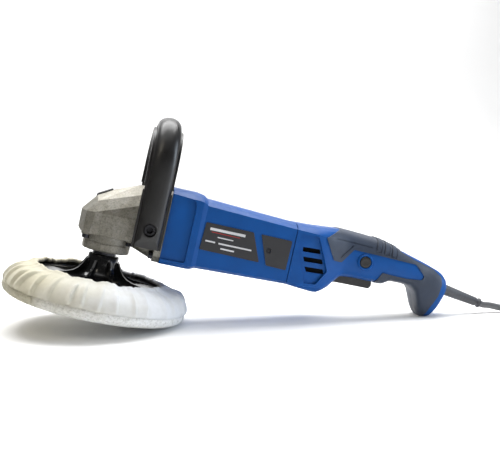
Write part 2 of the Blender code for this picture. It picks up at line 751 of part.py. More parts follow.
def make_motor_housing(tool):
    """Housing with a collar that laps over the flange, two chambers, and a bearing seat on four arms."""
    rings = [full_section(*row) for row in HOUSING_SECTIONS]
    housing = part("motor_housing", lofted(rings), LOOKS["blue_plastic"], tool)
    inside = [full_section(*between(HOUSING_SECTIONS, x), wall=HOUSING_WALL) for x in (86, 88.5, 182.0)]
    inside.append([(x + 3, y, z) for x, y, z in inside[-1]])
    pocket = octagon(36.2, 60.6, 133.0, 6)
    cut(
        housing,
        helper("flange_pocket", lofted([[(x, y, z) for y, z in pocket] for x in (45.0, COLLAR_SEAT)]), tool),
        helper("fan_chamber", along_x(rod(33.0, 50, 88, 28), MOTOR_Z), tool),
        helper("motor_chamber", lofted(inside), tool),
    )
    arms = (
        box((171, -34, MOTOR_Z - 5), (178, 34, MOTOR_Z + 5)),
        box((171, -5, 64.5), (178, 5, 126.6)),
        along_x(rod(14.0, 171, 178, 16), MOTOR_Z),
    )
    join(housing, *[helper(f"bearing_arm_{i}", bm, tool) for i, bm in enumerate(arms)])
    cut(
        housing,
        helper("rear_bearing_seat", along_x(rod(11.3, 170.1, 180, 16), MOTOR_Z), tool),
        helper("brush_window", brush_box(-50, 50, 6.6, 7.1), tool),
    )
    for i, (y, z) in enumerate(FLANGE_SCREWS):
        cut(housing, helper(f"collar_hole_{i}", moved(along_x(rod(2.3, 55, 75.5, 8)), 0, y, z), tool))


def make_motor_internals(tool):
    part("stator_core", along_x(ring(21.8, 30.2, 97.5, 140.5, 24), MOTOR_Z), LOOKS["laminated_steel"], tool)
    part("field_coil_front", along_x(ring(22.4, 29.5, 89.5, 97.2, 20), MOTOR_Z), LOOKS["copper"], tool)
    part("field_coil_rear", along_x(ring(22.4, 29.5, 140.8, 148.5, 20), MOTOR_Z), LOOKS["copper"], tool)
    for label, side in (("left", -1), ("right", 1)):
        outer = 33.6
        holder = brush_box(side * 14, side * outer, 6, 6.5)
        made = part(f"brush_holder_{label}", holder, LOOKS["brass"], tool)
        slot = brush_box(side * 10, side * 36, 3.8, 4.3)
        cut(made, helper(f"brush_slot_{label}", slot, tool))
        near, far = COMMUTATOR_RADIUS + 0.5, 29.0
        brush = brush_box(side * near, side * far, 3.5, 4)
        part(f"carbon_brush_{label}", brush, LOOKS["carbon"], tool)
        cover = ((147.5, 110.4), (158, 80), (178.5, 79), (179, 109))
        part(f"brush_cover_{label}", side_panel(cover, side, GAP, 1.2), LOOKS["black_plastic"], tool)
    plate = ((89, 83), (89, 110.4), (137.5, 110.5), (150, 82.4))
    part("nameplate_left", side_panel(plate, -1, GAP, 0.8), LOOKS["black_plastic"], tool)


# ---------------------------------------------------------------- rear handle


def handle_half(side):
    """Solid half of the rear handle, from the symmetry plane outwards."""
    rings = []
    for row in HANDLE_SECTIONS:
        half = half_section(*row[1:])
        rings.append([(row[0], side * max(y, SEAM), z) for y, z in half])
    return lofted(rings)


def handle_cavity():
    rings = []
    for x in (176, 206, 218, 228, 236, 244, 276, 288, 296, 312):
        row = between(HANDLE_SECTIONS, max(x, HANDLE_SECTIONS[0][0]))
        rings.append(full_section(x, *row[1:], wall=HANDLE_WALL))
    return lofted(rings)


def tail_cavity():
    rings = []
    for x in (336, 340, 350):
        row = between(HANDLE_SECTIONS, x)
        rings.append(full_section(x, row[1] + 8, row[2], *row[3:], wall=HANDLE_WALL + 1))
    return lofted(rings)


def relief_direction():
    return Vector((RELIEF_TIP[0] - RELIEF_START[0], 0, RELIEF_TIP[1] - RELIEF_START[1])).normalized()


def along_relief(bm):
    """Lays a solid drawn round z along the strain relief, with z = 0 at its start."""
    turn = Vector((0, 0, 1)).rotation_difference(relief_direction()).to_matrix().to_4x4()
    start = Matrix.Translation((RELIEF_START[0], 0, RELIEF_START[1]))
    bmesh.ops.transform(bm, matrix=start @ turn, verts=bm.verts)
    return bm


def make_handle_shells(tool):
    cavity = helper("handle_cavity", handle_cavity(), tool)
    tail = helper("tail_cavity", tail_cavity(), tool)
    neck = helper("cavity_neck", box((305, -9, 93), (345, 9, 103)), tool)
    slot = helper("trigger_slot", box((229, -8.2, 55), (280.5, 8.2, 96)), tool)
    outlet = helper("relief_hole", along_relief(rod(5.3, -14, 8, 12)), tool)
    vents = []
    for i in range(3):
        low = 91.2 + 8.2 * i
        outline = ((195, low), (221, low - 2), (221, low + 2.6), (195, low + 4.6))
        vents.append(helper(f"vent_{i}", prism(outline, -50, 50), tool))
    for label, side in (("left", -1), ("right", 1)):
        shell = part(f"handle_shell_{label}", handle_half(side), LOOKS["blue_plastic"], tool)
        cut(shell, cavity, tail, neck)
        for i, (x, z) in enumerate(HANDLE_SCREWS):
            reach = between(HANDLE_SECTIONS, x)[3] - 2.0
            boss = rod(4.2, SEAM, reach, 10) if side > 0 else rod(4.2, -reach, -SEAM, 10)
            join(shell, helper(f"boss_{label}_{i}", along_y(boss, x, z), tool))
        cut(shell, slot, outlet, *vents)
        if side > 0:
            for i, (x, z) in enumerate(HANDLE_SCREWS):
                width = between(HANDLE_SECTIONS, x)[3]
                cut(shell, helper(f"head_pocket_{i}", along_y(rod(3.9, 9.0, width + 5, 10), x, z), tool))
                cut(shell, helper(f"screw_way_{i}", along_y(rod(2.2, -5, 12, 8), x, z), tool))
                screw = turned([(0, -12), (1.7, -12), (1.7, 9.3), (3.4, 9.3), (3.4, 12.3), (0, 12.3)], 8)
                part(f"handle_screw_{i + 1}", along_y(screw, x, z), LOOKS["dark_steel"], tool)
        else:
            for i, (x, z) in enumerate(HANDLE_SCREWS):
                cut(shell, helper(f"screw_thread_{i}", along_y(rod(2.0, -12.4, 5, 8), x, z), tool))
            collar = along_y(ring(6.2, 8.6, -23.4, -17, 16), LOCK_ON_X, LOCK_ON_Z)
            collar = helper("lock_on_collar", collar, tool)
            hole = helper("lock_on_hole", along_y(rod(6.2, -30, -15, 16), LOCK_ON_X, LOCK_ON_Z), tool)
            join(shell, collar)
            cut(shell, hole)


def grip_section(row, side, out, first, last):
    """The points first to last of a handle half section, moved out from the surface."""
    half = half_section(row[1] - out, row[2] + out, row[3] + out, row[4])
    return [(row[0], side * max(y, SEAM), z) for y, z in half[first:last]]


def make_grips(tool):
    """Rubber over the handle's back, from the middle of the top down to the side."""
    stations = [between(HANDLE_SECTIONS, x) for x in GRIP_STATIONS]
    for label, side in (("left", -1), ("right", 1)):
        rings = []
        for row in stations:
            inner = grip_section(row, side, GRIP_GAP, 0, 4)
            outer = grip_section(row, side, GRIP_GAP + GRIP_THICKNESS, 0, 4)
            rings.append(outer + inner[::-1])
        part(f"rubber_grip_{label}", lofted(rings), LOOKS["soft_rubber"], tool)


def make_controls(tool):
    outline = (
        (230.5, 71.5),
        (236.5, 76.0),
        (277.0, 76.0),
        (279.0, 79.5),
        (277.0, 92.0),
        (246.0, 92.0),
        (240.0, 86.0),
    )
    pivot = (TRIGGER_PIVOT[0], 0, TRIGGER_PIVOT[1])
    part("trigger", prism(outline, -7.6, 7.6), LOOKS["black_plastic"], tool, origin=pivot)
    part("switch_module", box((246, -10.2, 99), (284, 10.2, 117)), LOOKS["black_plastic"], tool)
    cap = turned([(0, -24.6), (5.0, -24.6), (5.8, -23.8), (5.8, -14.2), (0, -14.2)], 20)
    axis = (LOCK_ON_X, -14.2, LOCK_ON_Z)
    part("lock_on_button", along_y(cap, LOCK_ON_X, LOCK_ON_Z), LOOKS["black_plastic"], tool, origin=axis)


def make_strain_relief(tool):
    length = math.dist(RELIEF_START, RELIEF_TIP)
    profile = [
        (0, -9),
        (4.9, -9),
        (4.9, 6),
        (4.6, 14),
        (4.2, length - 3),
        (4.5, length - 2),
        (4.5, length),
        (0, length),
    ]
    part("strain_relief", along_relief(turned(profile, 14)), LOOKS["cord_rubber"], tool)


# ---------------------------------------------------------------- loop handle


def loop_curve(half_width, top, spring, angle):
    """Point of a D-shaped arch over the tool, where angle runs from 0 at one side to pi at the other."""
    power = 2 / 2.5
    across, up = math.cos(angle), math.sin(angle)
    y = half_width * math.copysign(abs(across) ** power, across)
    return y, spring + (top - spring) * abs(up) ** power


def loop_stations():
    """Pairs of inner and outer (y, z) points along the loop, from one foot over the top to the other."""
    steps = 16
    arch = []
    for i in range(steps + 1):
        angle = math.pi * i / steps
        inner = loop_curve(-LOOP_INNER_Y, 181.0, 141.0, angle)
        outer = loop_curve(-LOOP_OUTER_Y, LOOP_TOP, 146.0, angle)
        arch.append((inner, outer))
    left = [((-LOOP_INNER_Y, z), (-LOOP_OUTER_Y, z)) for z in (LOOP_FOOT, 108.0)]
    right = [((LOOP_INNER_Y, z), (LOOP_OUTER_Y, z)) for z in (108.0, LOOP_FOOT)]
    return left + arch + right


def loop_band(section, stations):
    """Solid of a cross-section, given as (x from the loop's middle, share of the way outwards)."""
    rings = []
    for inner, outer in stations:
        points = []
        for x, share in section:
            y = inner[0] + (outer[0] - inner[0]) * share
            z = inner[1] + (outer[1] - inner[1]) * share
            points.append((LOOP_X + x, y, z))
        rings.append(points)
    return lofted(rings)


def make_loop_handle(tool):
    half = LOOP_WIDTH / 2
    stations = loop_stations()
    outer_half = [(half - 0.7, 0.5), (half - 0.7, 0.72), (half - 4.5, 1)]
    inner_half = [(half - 3.5, 0), (half, 0.22), (half, 0.47)]
    outer_section = outer_half + [(-x, share) for x, share in reversed(outer_half)]
    inner_section = inner_half + [(-x, share) for x, share in reversed(inner_half)]
    hollow = ((-9.5, 0.2), (9.5, 0.2), (9.5, 0.8), (-9.5, 0.8))
    core = helper("loop_core", loop_band(hollow, stations[1:-1]), tool)
    outer = part("loop_handle_outer", loop_band(outer_section, stations), LOOKS["black_plastic"], tool)
    inner = part("loop_handle_inner", loop_band(inner_section, stations), LOOKS["black_plastic"], tool)
    cut(outer, core)
    cut(inner, core)
    for label, side in (("left", -1), ("right", 1)):
        way = rod(4.6, *sorted((side * 30, side * 60)), 12)
        way = along_y(way, LOOP_BOLT_X, LOOP_BOLT_Z)
        seat = rod(7.9, *sorted((side * 44.2, side * 60)), 16)
        seat = along_y(seat, LOOP_BOLT_X, LOOP_BOLT_Z)
        way, seat = helper(f"bolt_way_{label}", way, tool), helper(f"bolt_seat_{label}", seat, tool)
        cut(outer, way, seat)
        cut(inner, way)
        shank = [(0, 25), (4.0, 25), (4.0, 44.5)]
        head = [(7.0, 44.5), (7.0, 47.6), (6.3, 48.4), (3.4, 48.4), (3.4, 45.4), (0, 45.4)]
        profile = shank + head
        bolt = turned(profile, 12)
        if side < 0:
            turn = Matrix.Rotation(math.pi, 3, "X")
            bmesh.ops.rotate(bolt, cent=(0, 0, 0), matrix=turn, verts=bolt.verts)
        bolt = along_y(bolt, LOOP_BOLT_X, LOOP_BOLT_Z)
        part(f"loop_handle_bolt_{label}", bolt, LOOKS["dark_steel"], tool)


# ---------------------------------------------------------------- mains cord, on the floor


def to_world(x, y, z):
    """A point of the tool's frame on the floor's axes, with x = 0 below the spindle's foot."""
    return Vector((COS * x + SIN * z, y, COS * z - SIN * x + LIFT))


def smooth_route(points, per_span=3):
    """Points of a smooth curve through all the given ones."""
    points = [Vector(point) for point in points]
    points = [2 * points[0] - points[1]] + points + [2 * points[-1] - points[-2]]
    route = []
    for before, start, end, after in zip(points, points[1:], points[2:], points[3:]):
        for i in range(per_span):
            t = i / per_span
            route.append(
                0.5
                * (
                    2 * start
                    + (end - before) * t
                    + (2 * before - 5 * start + 4 * end - after) * t**2
                    + (3 * start - before - 3 * end + after) * t**3
                )
            )
    return route + [points[-2]]


def tube(name, route, look, parent):
    curve = bpy.data.curves.new(name, "CURVE")
    curve.dimensions = "3D"
    curve.bevel_depth = CORD_DIAMETER / 2 * MM
    curve.bevel_resolution = 2
    curve.use_fill_caps = True
    spline = curve.splines.new("POLY")
    spline.points.add(len(route) - 1)
    for point, place in zip(spline.points, route):
        point.co = (*(place * MM), 1.0)
    curve.materials.append(look)
    made = bpy.data.objects.new(name, curve)
    made.parent = parent
    bpy.context.scene.collection.objects.link(made)
    return made


def make_cord(floor):
    tip = to_world(RELIEF_TIP[0], 0, RELIEF_TIP[1])
    direction = (to_world(RELIEF_TIP[0] + 1, 0, RELIEF_TIP[1]) - tip) * relief_direction().x
    direction += (to_world(RELIEF_TIP[0], 0, RELIEF_TIP[1] + 1) - tip) * relief_direction().z
    start = tip + direction * GAP
    inner, outer = COIL_RADIUS - COIL_HALF_WIDTH, COIL_RADIUS + COIL_HALF_WIDTH
    turn_radius = COIL_RADIUS + CORD_DIAMETER / 2
    # A straight cord that touches the outer turn clears the ring this far from the point where it touches
    clear = math.sqrt((outer + GAP) ** 2 - (turn_radius - CORD_DIAMETER / 2) ** 2)
    arrival = Vector((COIL_CENTRE[0] - clear, COIL_CENTRE[1] + turn_radius, CORD_DIAMETER / 2 + 0.1))
    route = [start, start + direction * 4] + [Vector(point) for point in CORD_ROUTE] + [arrival]
    tube("mains_cord", smooth_route(route), LOOKS["cord_rubber"], floor)
    top_turn = COIL_HEIGHT - 0.6 - CORD_DIAMETER / 2
    departure = Vector((COIL_CENTRE[0] - turn_radius, COIL_CENTRE[1] + clear, top_turn))
    plug_end = Vector(PLUG_START) - Vector((GAP, 0, 0))
    tail = [departure] + [Vector(point) for point in TAIL_ROUTE] + [plug_end - Vector((4, 0, 0)), plug_end]
    tube("cord_tail", smooth_route(tail), LOOKS["cord_rubber"], floor)

    edge = 2.5
    profile = [
        (inner + edge, 0),
        (outer - edge, 0),
        (outer, edge),
        (outer, COIL_HEIGHT - edge),
        (outer - edge, COIL_HEIGHT),
        (inner + edge, COIL_HEIGHT),
        (inner, COIL_HEIGHT - edge),
        (inner, edge),
    ]
    coil = moved(turned(profile, 28), *COIL_CENTRE)
    part("cord_coil", coil, LOOKS["cord_rubber"], floor)
    make_tie(floor, inner, outer)
    make_plug(floor)


def make_tie(floor, inner, outer):
    """Strap over the coil's turns, bent down on both sides."""
    clearance, thickness, foot, half_width = 0.5, 1.0, 0.5, 3.0
    low, high = inner - clearance, outer + clearance
    top = COIL_HEIGHT + clearance
    outline = (
        (low - thickness, foot),
        (low, foot),
        (low, top),
        (high, top),
        (high, foot),
        (high + thickness, foot),
        (high + thickness, top + thickness),
        (low - thickness, top + thickness),
    )
    strap = prism(outline, -half_width, half_width)
    turn = Matrix.Rotation(math.radians(-35), 3, "Z")
    bmesh.ops.rotate(strap, cent=(0, 0, 0), matrix=turn, verts=strap.verts)
    part("cord_tie", moved(strap, *COIL_CENTRE), LOOKS["black_plastic"], floor)


def make_plug(floor):
    """Two-pin mains plug with its own strain relief, lying beside the coil."""
    profile = [(0, 0), (4.6, 0), (5.6, 18), (8.5, 20), (13.0, 40), (17.3, 46), (17.3, 57), (0, 57)]
    plug = part("plug", moved(along_x(turned(profile, 18)), *PLUG_START), LOOKS["cord_rubber"], floor)
    for side in (-1, 1):
        pin = turned([(0, 55), (2.4, 55), (2.4, 75), (1.6, 76), (0, 76)], 8)
        x, y, z = PLUG_START
        join(plug, helper(f"pin_{side}", moved(along_x(pin), x, y + 9.5 * side, z), floor))


# ---------------------------------------------------------------- assembly


def main():
    for found in list(bpy.data.objects):
        bpy.data.objects.remove(found, do_unlink=True)
    make_looks()
    floor = empty("spindle_foot", at=(-MIDDLE_X, 0, 0))
    tool = empty("tool_frame", floor, (0, 0, LIFT))
    tool.rotation_euler = (0, TILT, 0)
    spindle = empty("spindle_axis", tool)
    intermediate = empty("intermediate_axis", tool, (0, 0, INTERMEDIATE_Z))
    armature = empty("armature_axis", tool, (0, 0, MOTOR_Z))

    make_backing_plate(spindle)
    make_pad(spindle)
    make_spindle(spindle)
    make_crown_gear(spindle)
    make_intermediate_shaft(intermediate)
    make_reduction_gear(intermediate)
    make_armature(armature)
    make_gear_housing(tool)
    make_retainer(tool)
    make_bearing_plate(tool)
    make_bearings(tool)
    make_spindle_lock(tool)
    make_motor_housing(tool)
    make_motor_internals(tool)
    make_handle_shells(tool)
    make_grips(tool)
    make_controls(tool)
    make_strain_relief(tool)
    make_loop_handle(tool)
    make_cord(floor)


main()
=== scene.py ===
import math
import random

import bmesh
import bpy
from mathutils import Matrix, Vector, noise


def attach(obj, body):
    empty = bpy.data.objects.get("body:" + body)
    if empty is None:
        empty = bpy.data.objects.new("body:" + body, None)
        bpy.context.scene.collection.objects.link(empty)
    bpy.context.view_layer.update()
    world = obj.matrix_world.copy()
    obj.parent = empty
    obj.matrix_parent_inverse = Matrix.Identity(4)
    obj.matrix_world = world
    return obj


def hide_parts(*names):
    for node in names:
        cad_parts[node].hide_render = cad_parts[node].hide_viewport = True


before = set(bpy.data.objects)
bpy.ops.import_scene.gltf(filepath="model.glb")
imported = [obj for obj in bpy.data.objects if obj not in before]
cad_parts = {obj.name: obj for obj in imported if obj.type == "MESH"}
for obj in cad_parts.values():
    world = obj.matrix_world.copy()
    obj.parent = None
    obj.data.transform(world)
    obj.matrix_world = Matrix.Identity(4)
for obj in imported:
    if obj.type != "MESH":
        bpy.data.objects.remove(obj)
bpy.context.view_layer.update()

# ---------------------------------------------------------------- frames and camera

# The tool's own frame, in millimetres: x runs back from the spindle axis, z runs up the spindle
# from the pad's face, and y = 0 is the symmetry plane. TOOL takes it to the world, in metres.
MM = 0.001
TILT = math.radians(12.8)
SIN, COS = math.sin(TILT), math.cos(TILT)
LIFT = 17.7855
MIDDLE_X = 163.57
TOOL = (
    Matrix.Translation((-MIDDLE_X * MM, 0, LIFT * MM))
    @ Matrix.Rotation(TILT, 4, "Y")
    @ Matrix.Scale(MM, 4)
)
FLOOR = Matrix.Translation((-MIDDLE_X * MM, 0, 0)) @ Matrix.Scale(MM, 4)

scene = bpy.context.scene
camera = bpy.data.objects.new("camera", bpy.data.cameras.new("camera"))
scene.collection.objects.link(camera)
camera.location = (-0.1406, -0.8714, 0.1722)
target = Vector((-0.0023, 0.0, 0.0991))
camera.rotation_euler = (target - camera.location).to_track_quat("-Z", "Y").to_euler()
camera.data.sensor_width = 36.0
camera.data.lens = 61.6
scene.camera = camera


# ---------------------------------------------------------------- mesh helpers


def through(before, start, end, after, t):
    """Value at t from 0 to 1 on a smooth curve from start to end, led by the values before and after them."""
    return 0.5 * (
        2 * start
        + (end - before) * t
        + (2 * before - 5 * start + 4 * end - after) * t**2
        + (3 * start - before - 3 * end + after) * t**3
    )


def bridged(bm, rows):
    """Faces between neighbouring rings of equally many points."""
    for low, high in zip(rows, rows[1:]):
        for i in range(len(low)):
            j = (i + 1) % len(low)
            bm.faces.new((low[i], low[j], high[j], high[i]))


def closed(bm):
    bmesh.ops.remove_doubles(bm, verts=bm.verts, dist=1e-4)
    bmesh.ops.recalc_face_normals(bm, faces=bm.faces)
    return bm


def turned(profile, steps=96):
    """Solid turned round z from (radius, height) points, either axis to axis or a closed ring."""
    bm = bmesh.new()
    verts = [bm.verts.new((radius, 0, height)) for radius, height in profile]
    pairs = list(zip(verts, verts[1:]))
    if profile[0][0] > 0 or profile[-1][0] > 0:
        pairs.append((verts[-1], verts[0]))
    edges = [bm.edges.new(pair) for pair in pairs]
    bmesh.ops.spin(
        bm, geom=verts + edges, cent=(0, 0, 0), axis=(0, 0, 1), angle=math.tau, steps=steps, use_merge=True
    )
    return closed(bm)


def rod(radius, low, high, steps=48):
    return turned([(0, low), (radius, low), (radius, high), (0, high)], steps)


def lofted(rings):
    """Solid through rings of equally many points, with flat ends."""
    bm = bmesh.new()
    loops = [[bm.verts.new(point) for point in points] for points in rings]
    bridged(bm, loops)
    bm.faces.new(loops[0])
    bm.faces.new(loops[-1])
    return closed(bm)


def prism(outline, low, high):
    """Solid of an (x, z) outline between two values of y."""
    return lofted([[(x, y, z) for x, z in outline] for y in (low, high)])


def box(low, high):
    outline = ((low[0], low[2]), (high[0], low[2]), (high[0], high[2]), (low[0], high[2]))
    return prism(outline, low[1], high[1])


def transformed(bm, matrix):
    bmesh.ops.transform(bm, matrix=matrix, verts=bm.verts)
    return bm


def moved(bm, x=0.0, y=0.0, z=0.0):
    return transformed(bm, Matrix.Translation((x, y, z)))


def along_x(bm, z=0.0):
    return transformed(bm, Matrix.Translation((0, 0, z)) @ Matrix.Rotation(math.pi / 2, 4, "Y"))


def along_y(bm, x=0.0, z=0.0):
    return transformed(bm, Matrix.Translation((x, 0, z)) @ Matrix.Rotation(-math.pi / 2, 4, "X"))


def turned_about_z(bm, angle):
    return transformed(bm, Matrix.Rotation(angle, 4, "Z"))


def joined(*meshes):
    """All the meshes in one, without merging them."""
    result = bmesh.new()
    for bm in meshes:
        mesh = bpy.data.meshes.new("joined")
        bm.to_mesh(mesh)
        bm.free()
        result.from_mesh(mesh)
        bpy.data.meshes.remove(mesh)
    return result


NUDGES = (0.0, 0.003, -0.004, 0.007, -0.011, 0.017)


def as_object(bm):
    mesh = bpy.data.meshes.new("operand")
    bm.to_mesh(mesh)
    bm.free()
    obj = bpy.data.objects.new("operand", mesh)
    scene.collection.objects.link(obj)
    return obj


def drop(obj):
    mesh = obj.data
    bpy.data.objects.remove(obj)
    bpy.data.meshes.remove(mesh)


def boolean(operation, first, second, least):
    """Boolean of two meshes, which it uses up. Faces that nearly meet can break one, so it is tried again
    with the second mesh a few micrometres aside, until the result is closed and holds at least that share."""
    before = first.calc_volume()
    bmesh.ops.triangulate(second, faces=second.faces)
    first, second = as_object(first), as_object(second)
    modifier = first.modifiers.new("shape", "BOOLEAN")
    modifier.operation = operation
    modifier.solver = "EXACT"
    modifier.object = second
    best, fewest = None, None
    for nudge in NUDGES:
        second.location = (nudge, nudge * 0.7, nudge * 1.3)
        bpy.context.view_layer.update()
        mesh = bpy.data.meshes.new_from_object(first.evaluated_get(bpy.context.evaluated_depsgraph_get()))
        result = bmesh.new()
        result.from_mesh(mesh)
        bpy.data.meshes.remove(mesh)
        bmesh.ops.remove_doubles(result, verts=result.verts, dist=5e-4)
        faults = sum(1 for edge in result.edges if not edge.is_manifold)
        if result.calc_volume() < before * least:
            result.free()
            continue
        if best is None or faults < fewest:
            best, fewest = result, faults
        if not faults:
            break
    drop(first)
    drop(second)
    if best is None:
        raise ValueError(f"every try at a Boolean {operation} lost the shape")
    return best


LEAST_SHARES = {"DIFFERENCE": 0.08, "UNION": 0.08, "INTERSECT": 0.0005}


def shaped(operation, bm, *others, least=None):
    """Result of a Boolean of the first mesh with each of the others in turn."""
    for other in others:
        bm = boolean(operation, bm, other, least or LEAST_SHARES[operation])
    return bm


def without(bm, *others, least=None):
    return shaped("DIFFERENCE", bm, *others, least=least)


def united(bm, *others):
    return shaped("UNION", bm, *others)


def common(bm, other):
    return shaped("INTERSECT", bm, other)


def flattened(bm, angle=0.6):
    """Merges the triangles of flat faces into whole faces."""
    bmesh.ops.dissolve_limit(
        bm, angle_limit=math.radians(angle), verts=bm.verts, edges=bm.edges, use_dissolve_boundaries=False
    )
    return bm


def cad_copy(node):
    """The CAD node's own mesh, welded, in its world place."""
    bm = bmesh.new()
    bm.from_mesh(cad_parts[node].data)
    bmesh.ops.remove_doubles(bm, verts=bm.verts, dist=2e-6)
    bmesh.ops.dissolve_limit(
        bm, angle_limit=math.radians(0.8), verts=bm.verts, edges=bm.edges, use_dissolve_boundaries=False
    )
    return bm


# ---------------------------------------------------------------- piece helpers


def piece(name, bm, look, *replaces, body="tool_body", place=TOOL, bevel=0.0, steps=2, angle=30, smooth=30):
    """Object in its world place that rides on a body and stands for CAD nodes. bevel is in millimetres."""
    if place is not None:
        transformed(bm, place)
    mesh = bpy.data.meshes.new(name)
    bm.to_mesh(mesh)
    bm.free()
    mesh.materials.append(LOOKS[look])
    mesh.shade_smooth()
    mesh.set_sharp_from_angle(angle=math.radians(smooth))
    obj = bpy.data.objects.new(name, mesh)
    scene.collection.objects.link(obj)
    if bevel:
        modifier = obj.modifiers.new("bevel", "BEVEL")
        modifier.width = bevel * MM
        modifier.segments = steps
        modifier.limit_method = "ANGLE"
        modifier.angle_limit = math.radians(angle)
        modifier.harden_normals = True
        modifier.use_clamp_overlap = True
    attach(obj, body)
    if replaces:
        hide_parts(*replaces)
    return obj


def refined(name, node, look, **options):
    """The CAD node's shape with bevelled edges, standing for the node."""
    return piece(name, cad_copy(node), look, node, place=None, **options)


# ---------------------------------------------------------------- materials


class Look:
    """Node-based material on object coordinates, in metres."""

    def __init__(self, name, color, roughness, metallic=0.0, **shader):
        self.material = bpy.data.materials.new(name)
        self.material.use_nodes = True
        self.tree = self.material.node_tree
        self.shader = self.tree.nodes["Principled BSDF"]
        self.shader.inputs["Base Color"].default_value = (*color, 1.0)
        self.shader.inputs["Roughness"].default_value = roughness
        self.shader.inputs["Metallic"].default_value = metallic
        for socket, value in shader.items():
            self.shader.inputs[socket.replace("_", " ")].default_value = value
        self.place = self.node("ShaderNodeTexCoord").outputs["Object"]
        self.height = None

    def node(self, kind, **values):
        made = self.tree.nodes.new(kind)
        for socket, value in values.items():
            made.inputs[socket].default_value = value
        return made

    def link(self, source, target_socket):
        self.tree.links.new(source, target_socket)

    def noise(self, scale, detail=3.0, roughness=0.55, distortion=0.0, stretch=None):
        made = self.node("ShaderNodeTexNoise", Scale=scale, Detail=detail, Roughness=roughness)
        made.inputs["Distortion"].default_value = distortion
        place = self.place
        if stretch:
            mapping = self.node("ShaderNodeMapping")
            mapping.inputs["Scale"].default_value = stretch
            self.link(place, mapping.inputs["Vector"])
            place = mapping.outputs["Vector"]
        self.link(place, made.inputs["Vector"])
        return made.outputs["Fac"]

    def ramp(self, factor, *stops):
        """Colours over a factor, as (position, colour) pairs."""
        made = self.node("ShaderNodeValToRGB")
        elements = made.color_ramp.elements
        while len(elements) < len(stops):
            elements.new(0.5)
        for element, (position, color) in zip(elements, stops):
            element.position = position
            element.color = (*color, 1.0)
        self.link(factor, made.inputs["Fac"])
        return made.outputs["Color"]

    def along(self, start, end):
        """Share of the way from one x to another in metres, with a slow wander."""
        split = self.node("ShaderNodeSeparateXYZ")
        self.link(self.place, split.inputs["Vector"])
        share = self.range(split.outputs["X"], 0.0, 1.0, start, end)
        wander = self.range(self.noise(22.0, 3.0, 0.5), -0.25, 0.25)
        total = self.node("ShaderNodeMath")
        total.operation = "ADD"
        self.link(share, total.inputs[0])
        self.link(wander, total.inputs[1])
        return total.outputs["Value"]

    def range(self, factor, low, high, start=0.3, end=0.7):
        made = self.node("ShaderNodeMapRange")
        for socket, value in (("From Min", start), ("From Max", end), ("To Min", low), ("To Max", high)):
            made.inputs[socket].default_value = value
        self.link(factor, made.inputs["Value"])
        return made.outputs["Result"]

    def color(self, source):
        self.link(source, self.shader.inputs["Base Color"])

    def rough(self, source):
        self.link(source, self.shader.inputs["Roughness"])

    def bump(self, height, distance, strength=1.0):
        """Adds a layer of bump, distance deep in metres."""
        made = self.node("ShaderNodeBump")
        made.inputs["Strength"].default_value = strength
        made.inputs["Distance"].default_value = distance
        self.link(height, made.inputs["Height"])
        if self.height is not None:
            self.link(self.height, made.inputs["Normal"])
        self.height = made.outputs["Normal"]
        self.link(self.height, self.shader.inputs["Normal"])

    def blend(self, factor, first, second, kind):
        made = self.node("ShaderNodeMix")
        made.data_type = "RGBA"
        made.blend_type = kind
        sockets = [socket for socket in made.inputs if socket.type == "RGBA"]
        for socket, source in zip(sockets, (first, second)):
            self.link(source, socket)
        made.inputs["Factor"].default_value = factor
        return next(socket for socket in made.outputs if socket.type == "RGBA")


def scaled(color, amount):
    return tuple(min(1.0, channel * amount) for channel in color)


def moulded(name, color, roughness, grain=2200.0, depth=0.00004, variation=0.12, **shader):
    """Moulded plastic with spark-eroded grain, slow colour drift and rubbed, shinier patches."""
    look = Look(name, color, roughness, **shader)
    drift = look.noise(38.0, 4.0, 0.6)
    dark, pale = scaled(color, 1 - variation), scaled(color, 1 + variation)
    look.color(look.ramp(drift, (0.3, dark), (0.55, color), (0.75, pale)))
    look.rough(look.range(look.noise(95.0, 5.0, 0.65), roughness - 0.07, roughness + 0.09))
    look.bump(look.noise(grain, 2.0, 0.5), depth)
    return look.material


def metal(name, color, roughness, grain=900.0, depth=0.00003, stretch=None, variation=0.15, metallic=1.0):
    """Machined or drawn metal with fine marks and uneven polish."""
    look = Look(name, color, roughness, metallic)
    marks = look.noise(grain, 3.0, 0.6, stretch=stretch)
    dark, pale = scaled(color, 1 - variation), scaled(color, 1 + variation)
    look.color(look.ramp(look.noise(60.0, 4.0, 0.6), (0.3, dark), (0.7, pale)))
    look.rough(look.range(marks, roughness - 0.08, roughness + 0.12))
    look.bump(marks, depth)
    return look.material


def cast_metal():
    """Bare die casting: warm grey, speckled, with soft pits."""
    look = Look("cast_aluminium", (0.36, 0.345, 0.30), 0.47, 0.72)
    speckle = look.noise(620.0, 4.0, 0.7)
    stain = look.noise(70.0, 5.0, 0.65, 0.4)
    base = look.ramp(
        stain, (0.28, (0.20, 0.188, 0.16)), (0.5, (0.25, 0.24, 0.21)), (0.72, (0.31, 0.305, 0.28))
    )
    fleck = look.ramp(speckle, (0.34, (0.62, 0.6, 0.55)), (0.5, (1.0, 1.0, 1.0)), (0.68, (1.3, 1.28, 1.2)))
    look.color(look.blend(0.85, base, fleck, "MULTIPLY"))
    look.rough(look.range(speckle, 0.36, 0.62))
    look.bump(look.noise(520.0, 3.0, 0.7), 0.00022, 0.8)
    look.bump(look.noise(1700.0, 2.0, 0.6), 0.00008, 0.7)
    return look.material


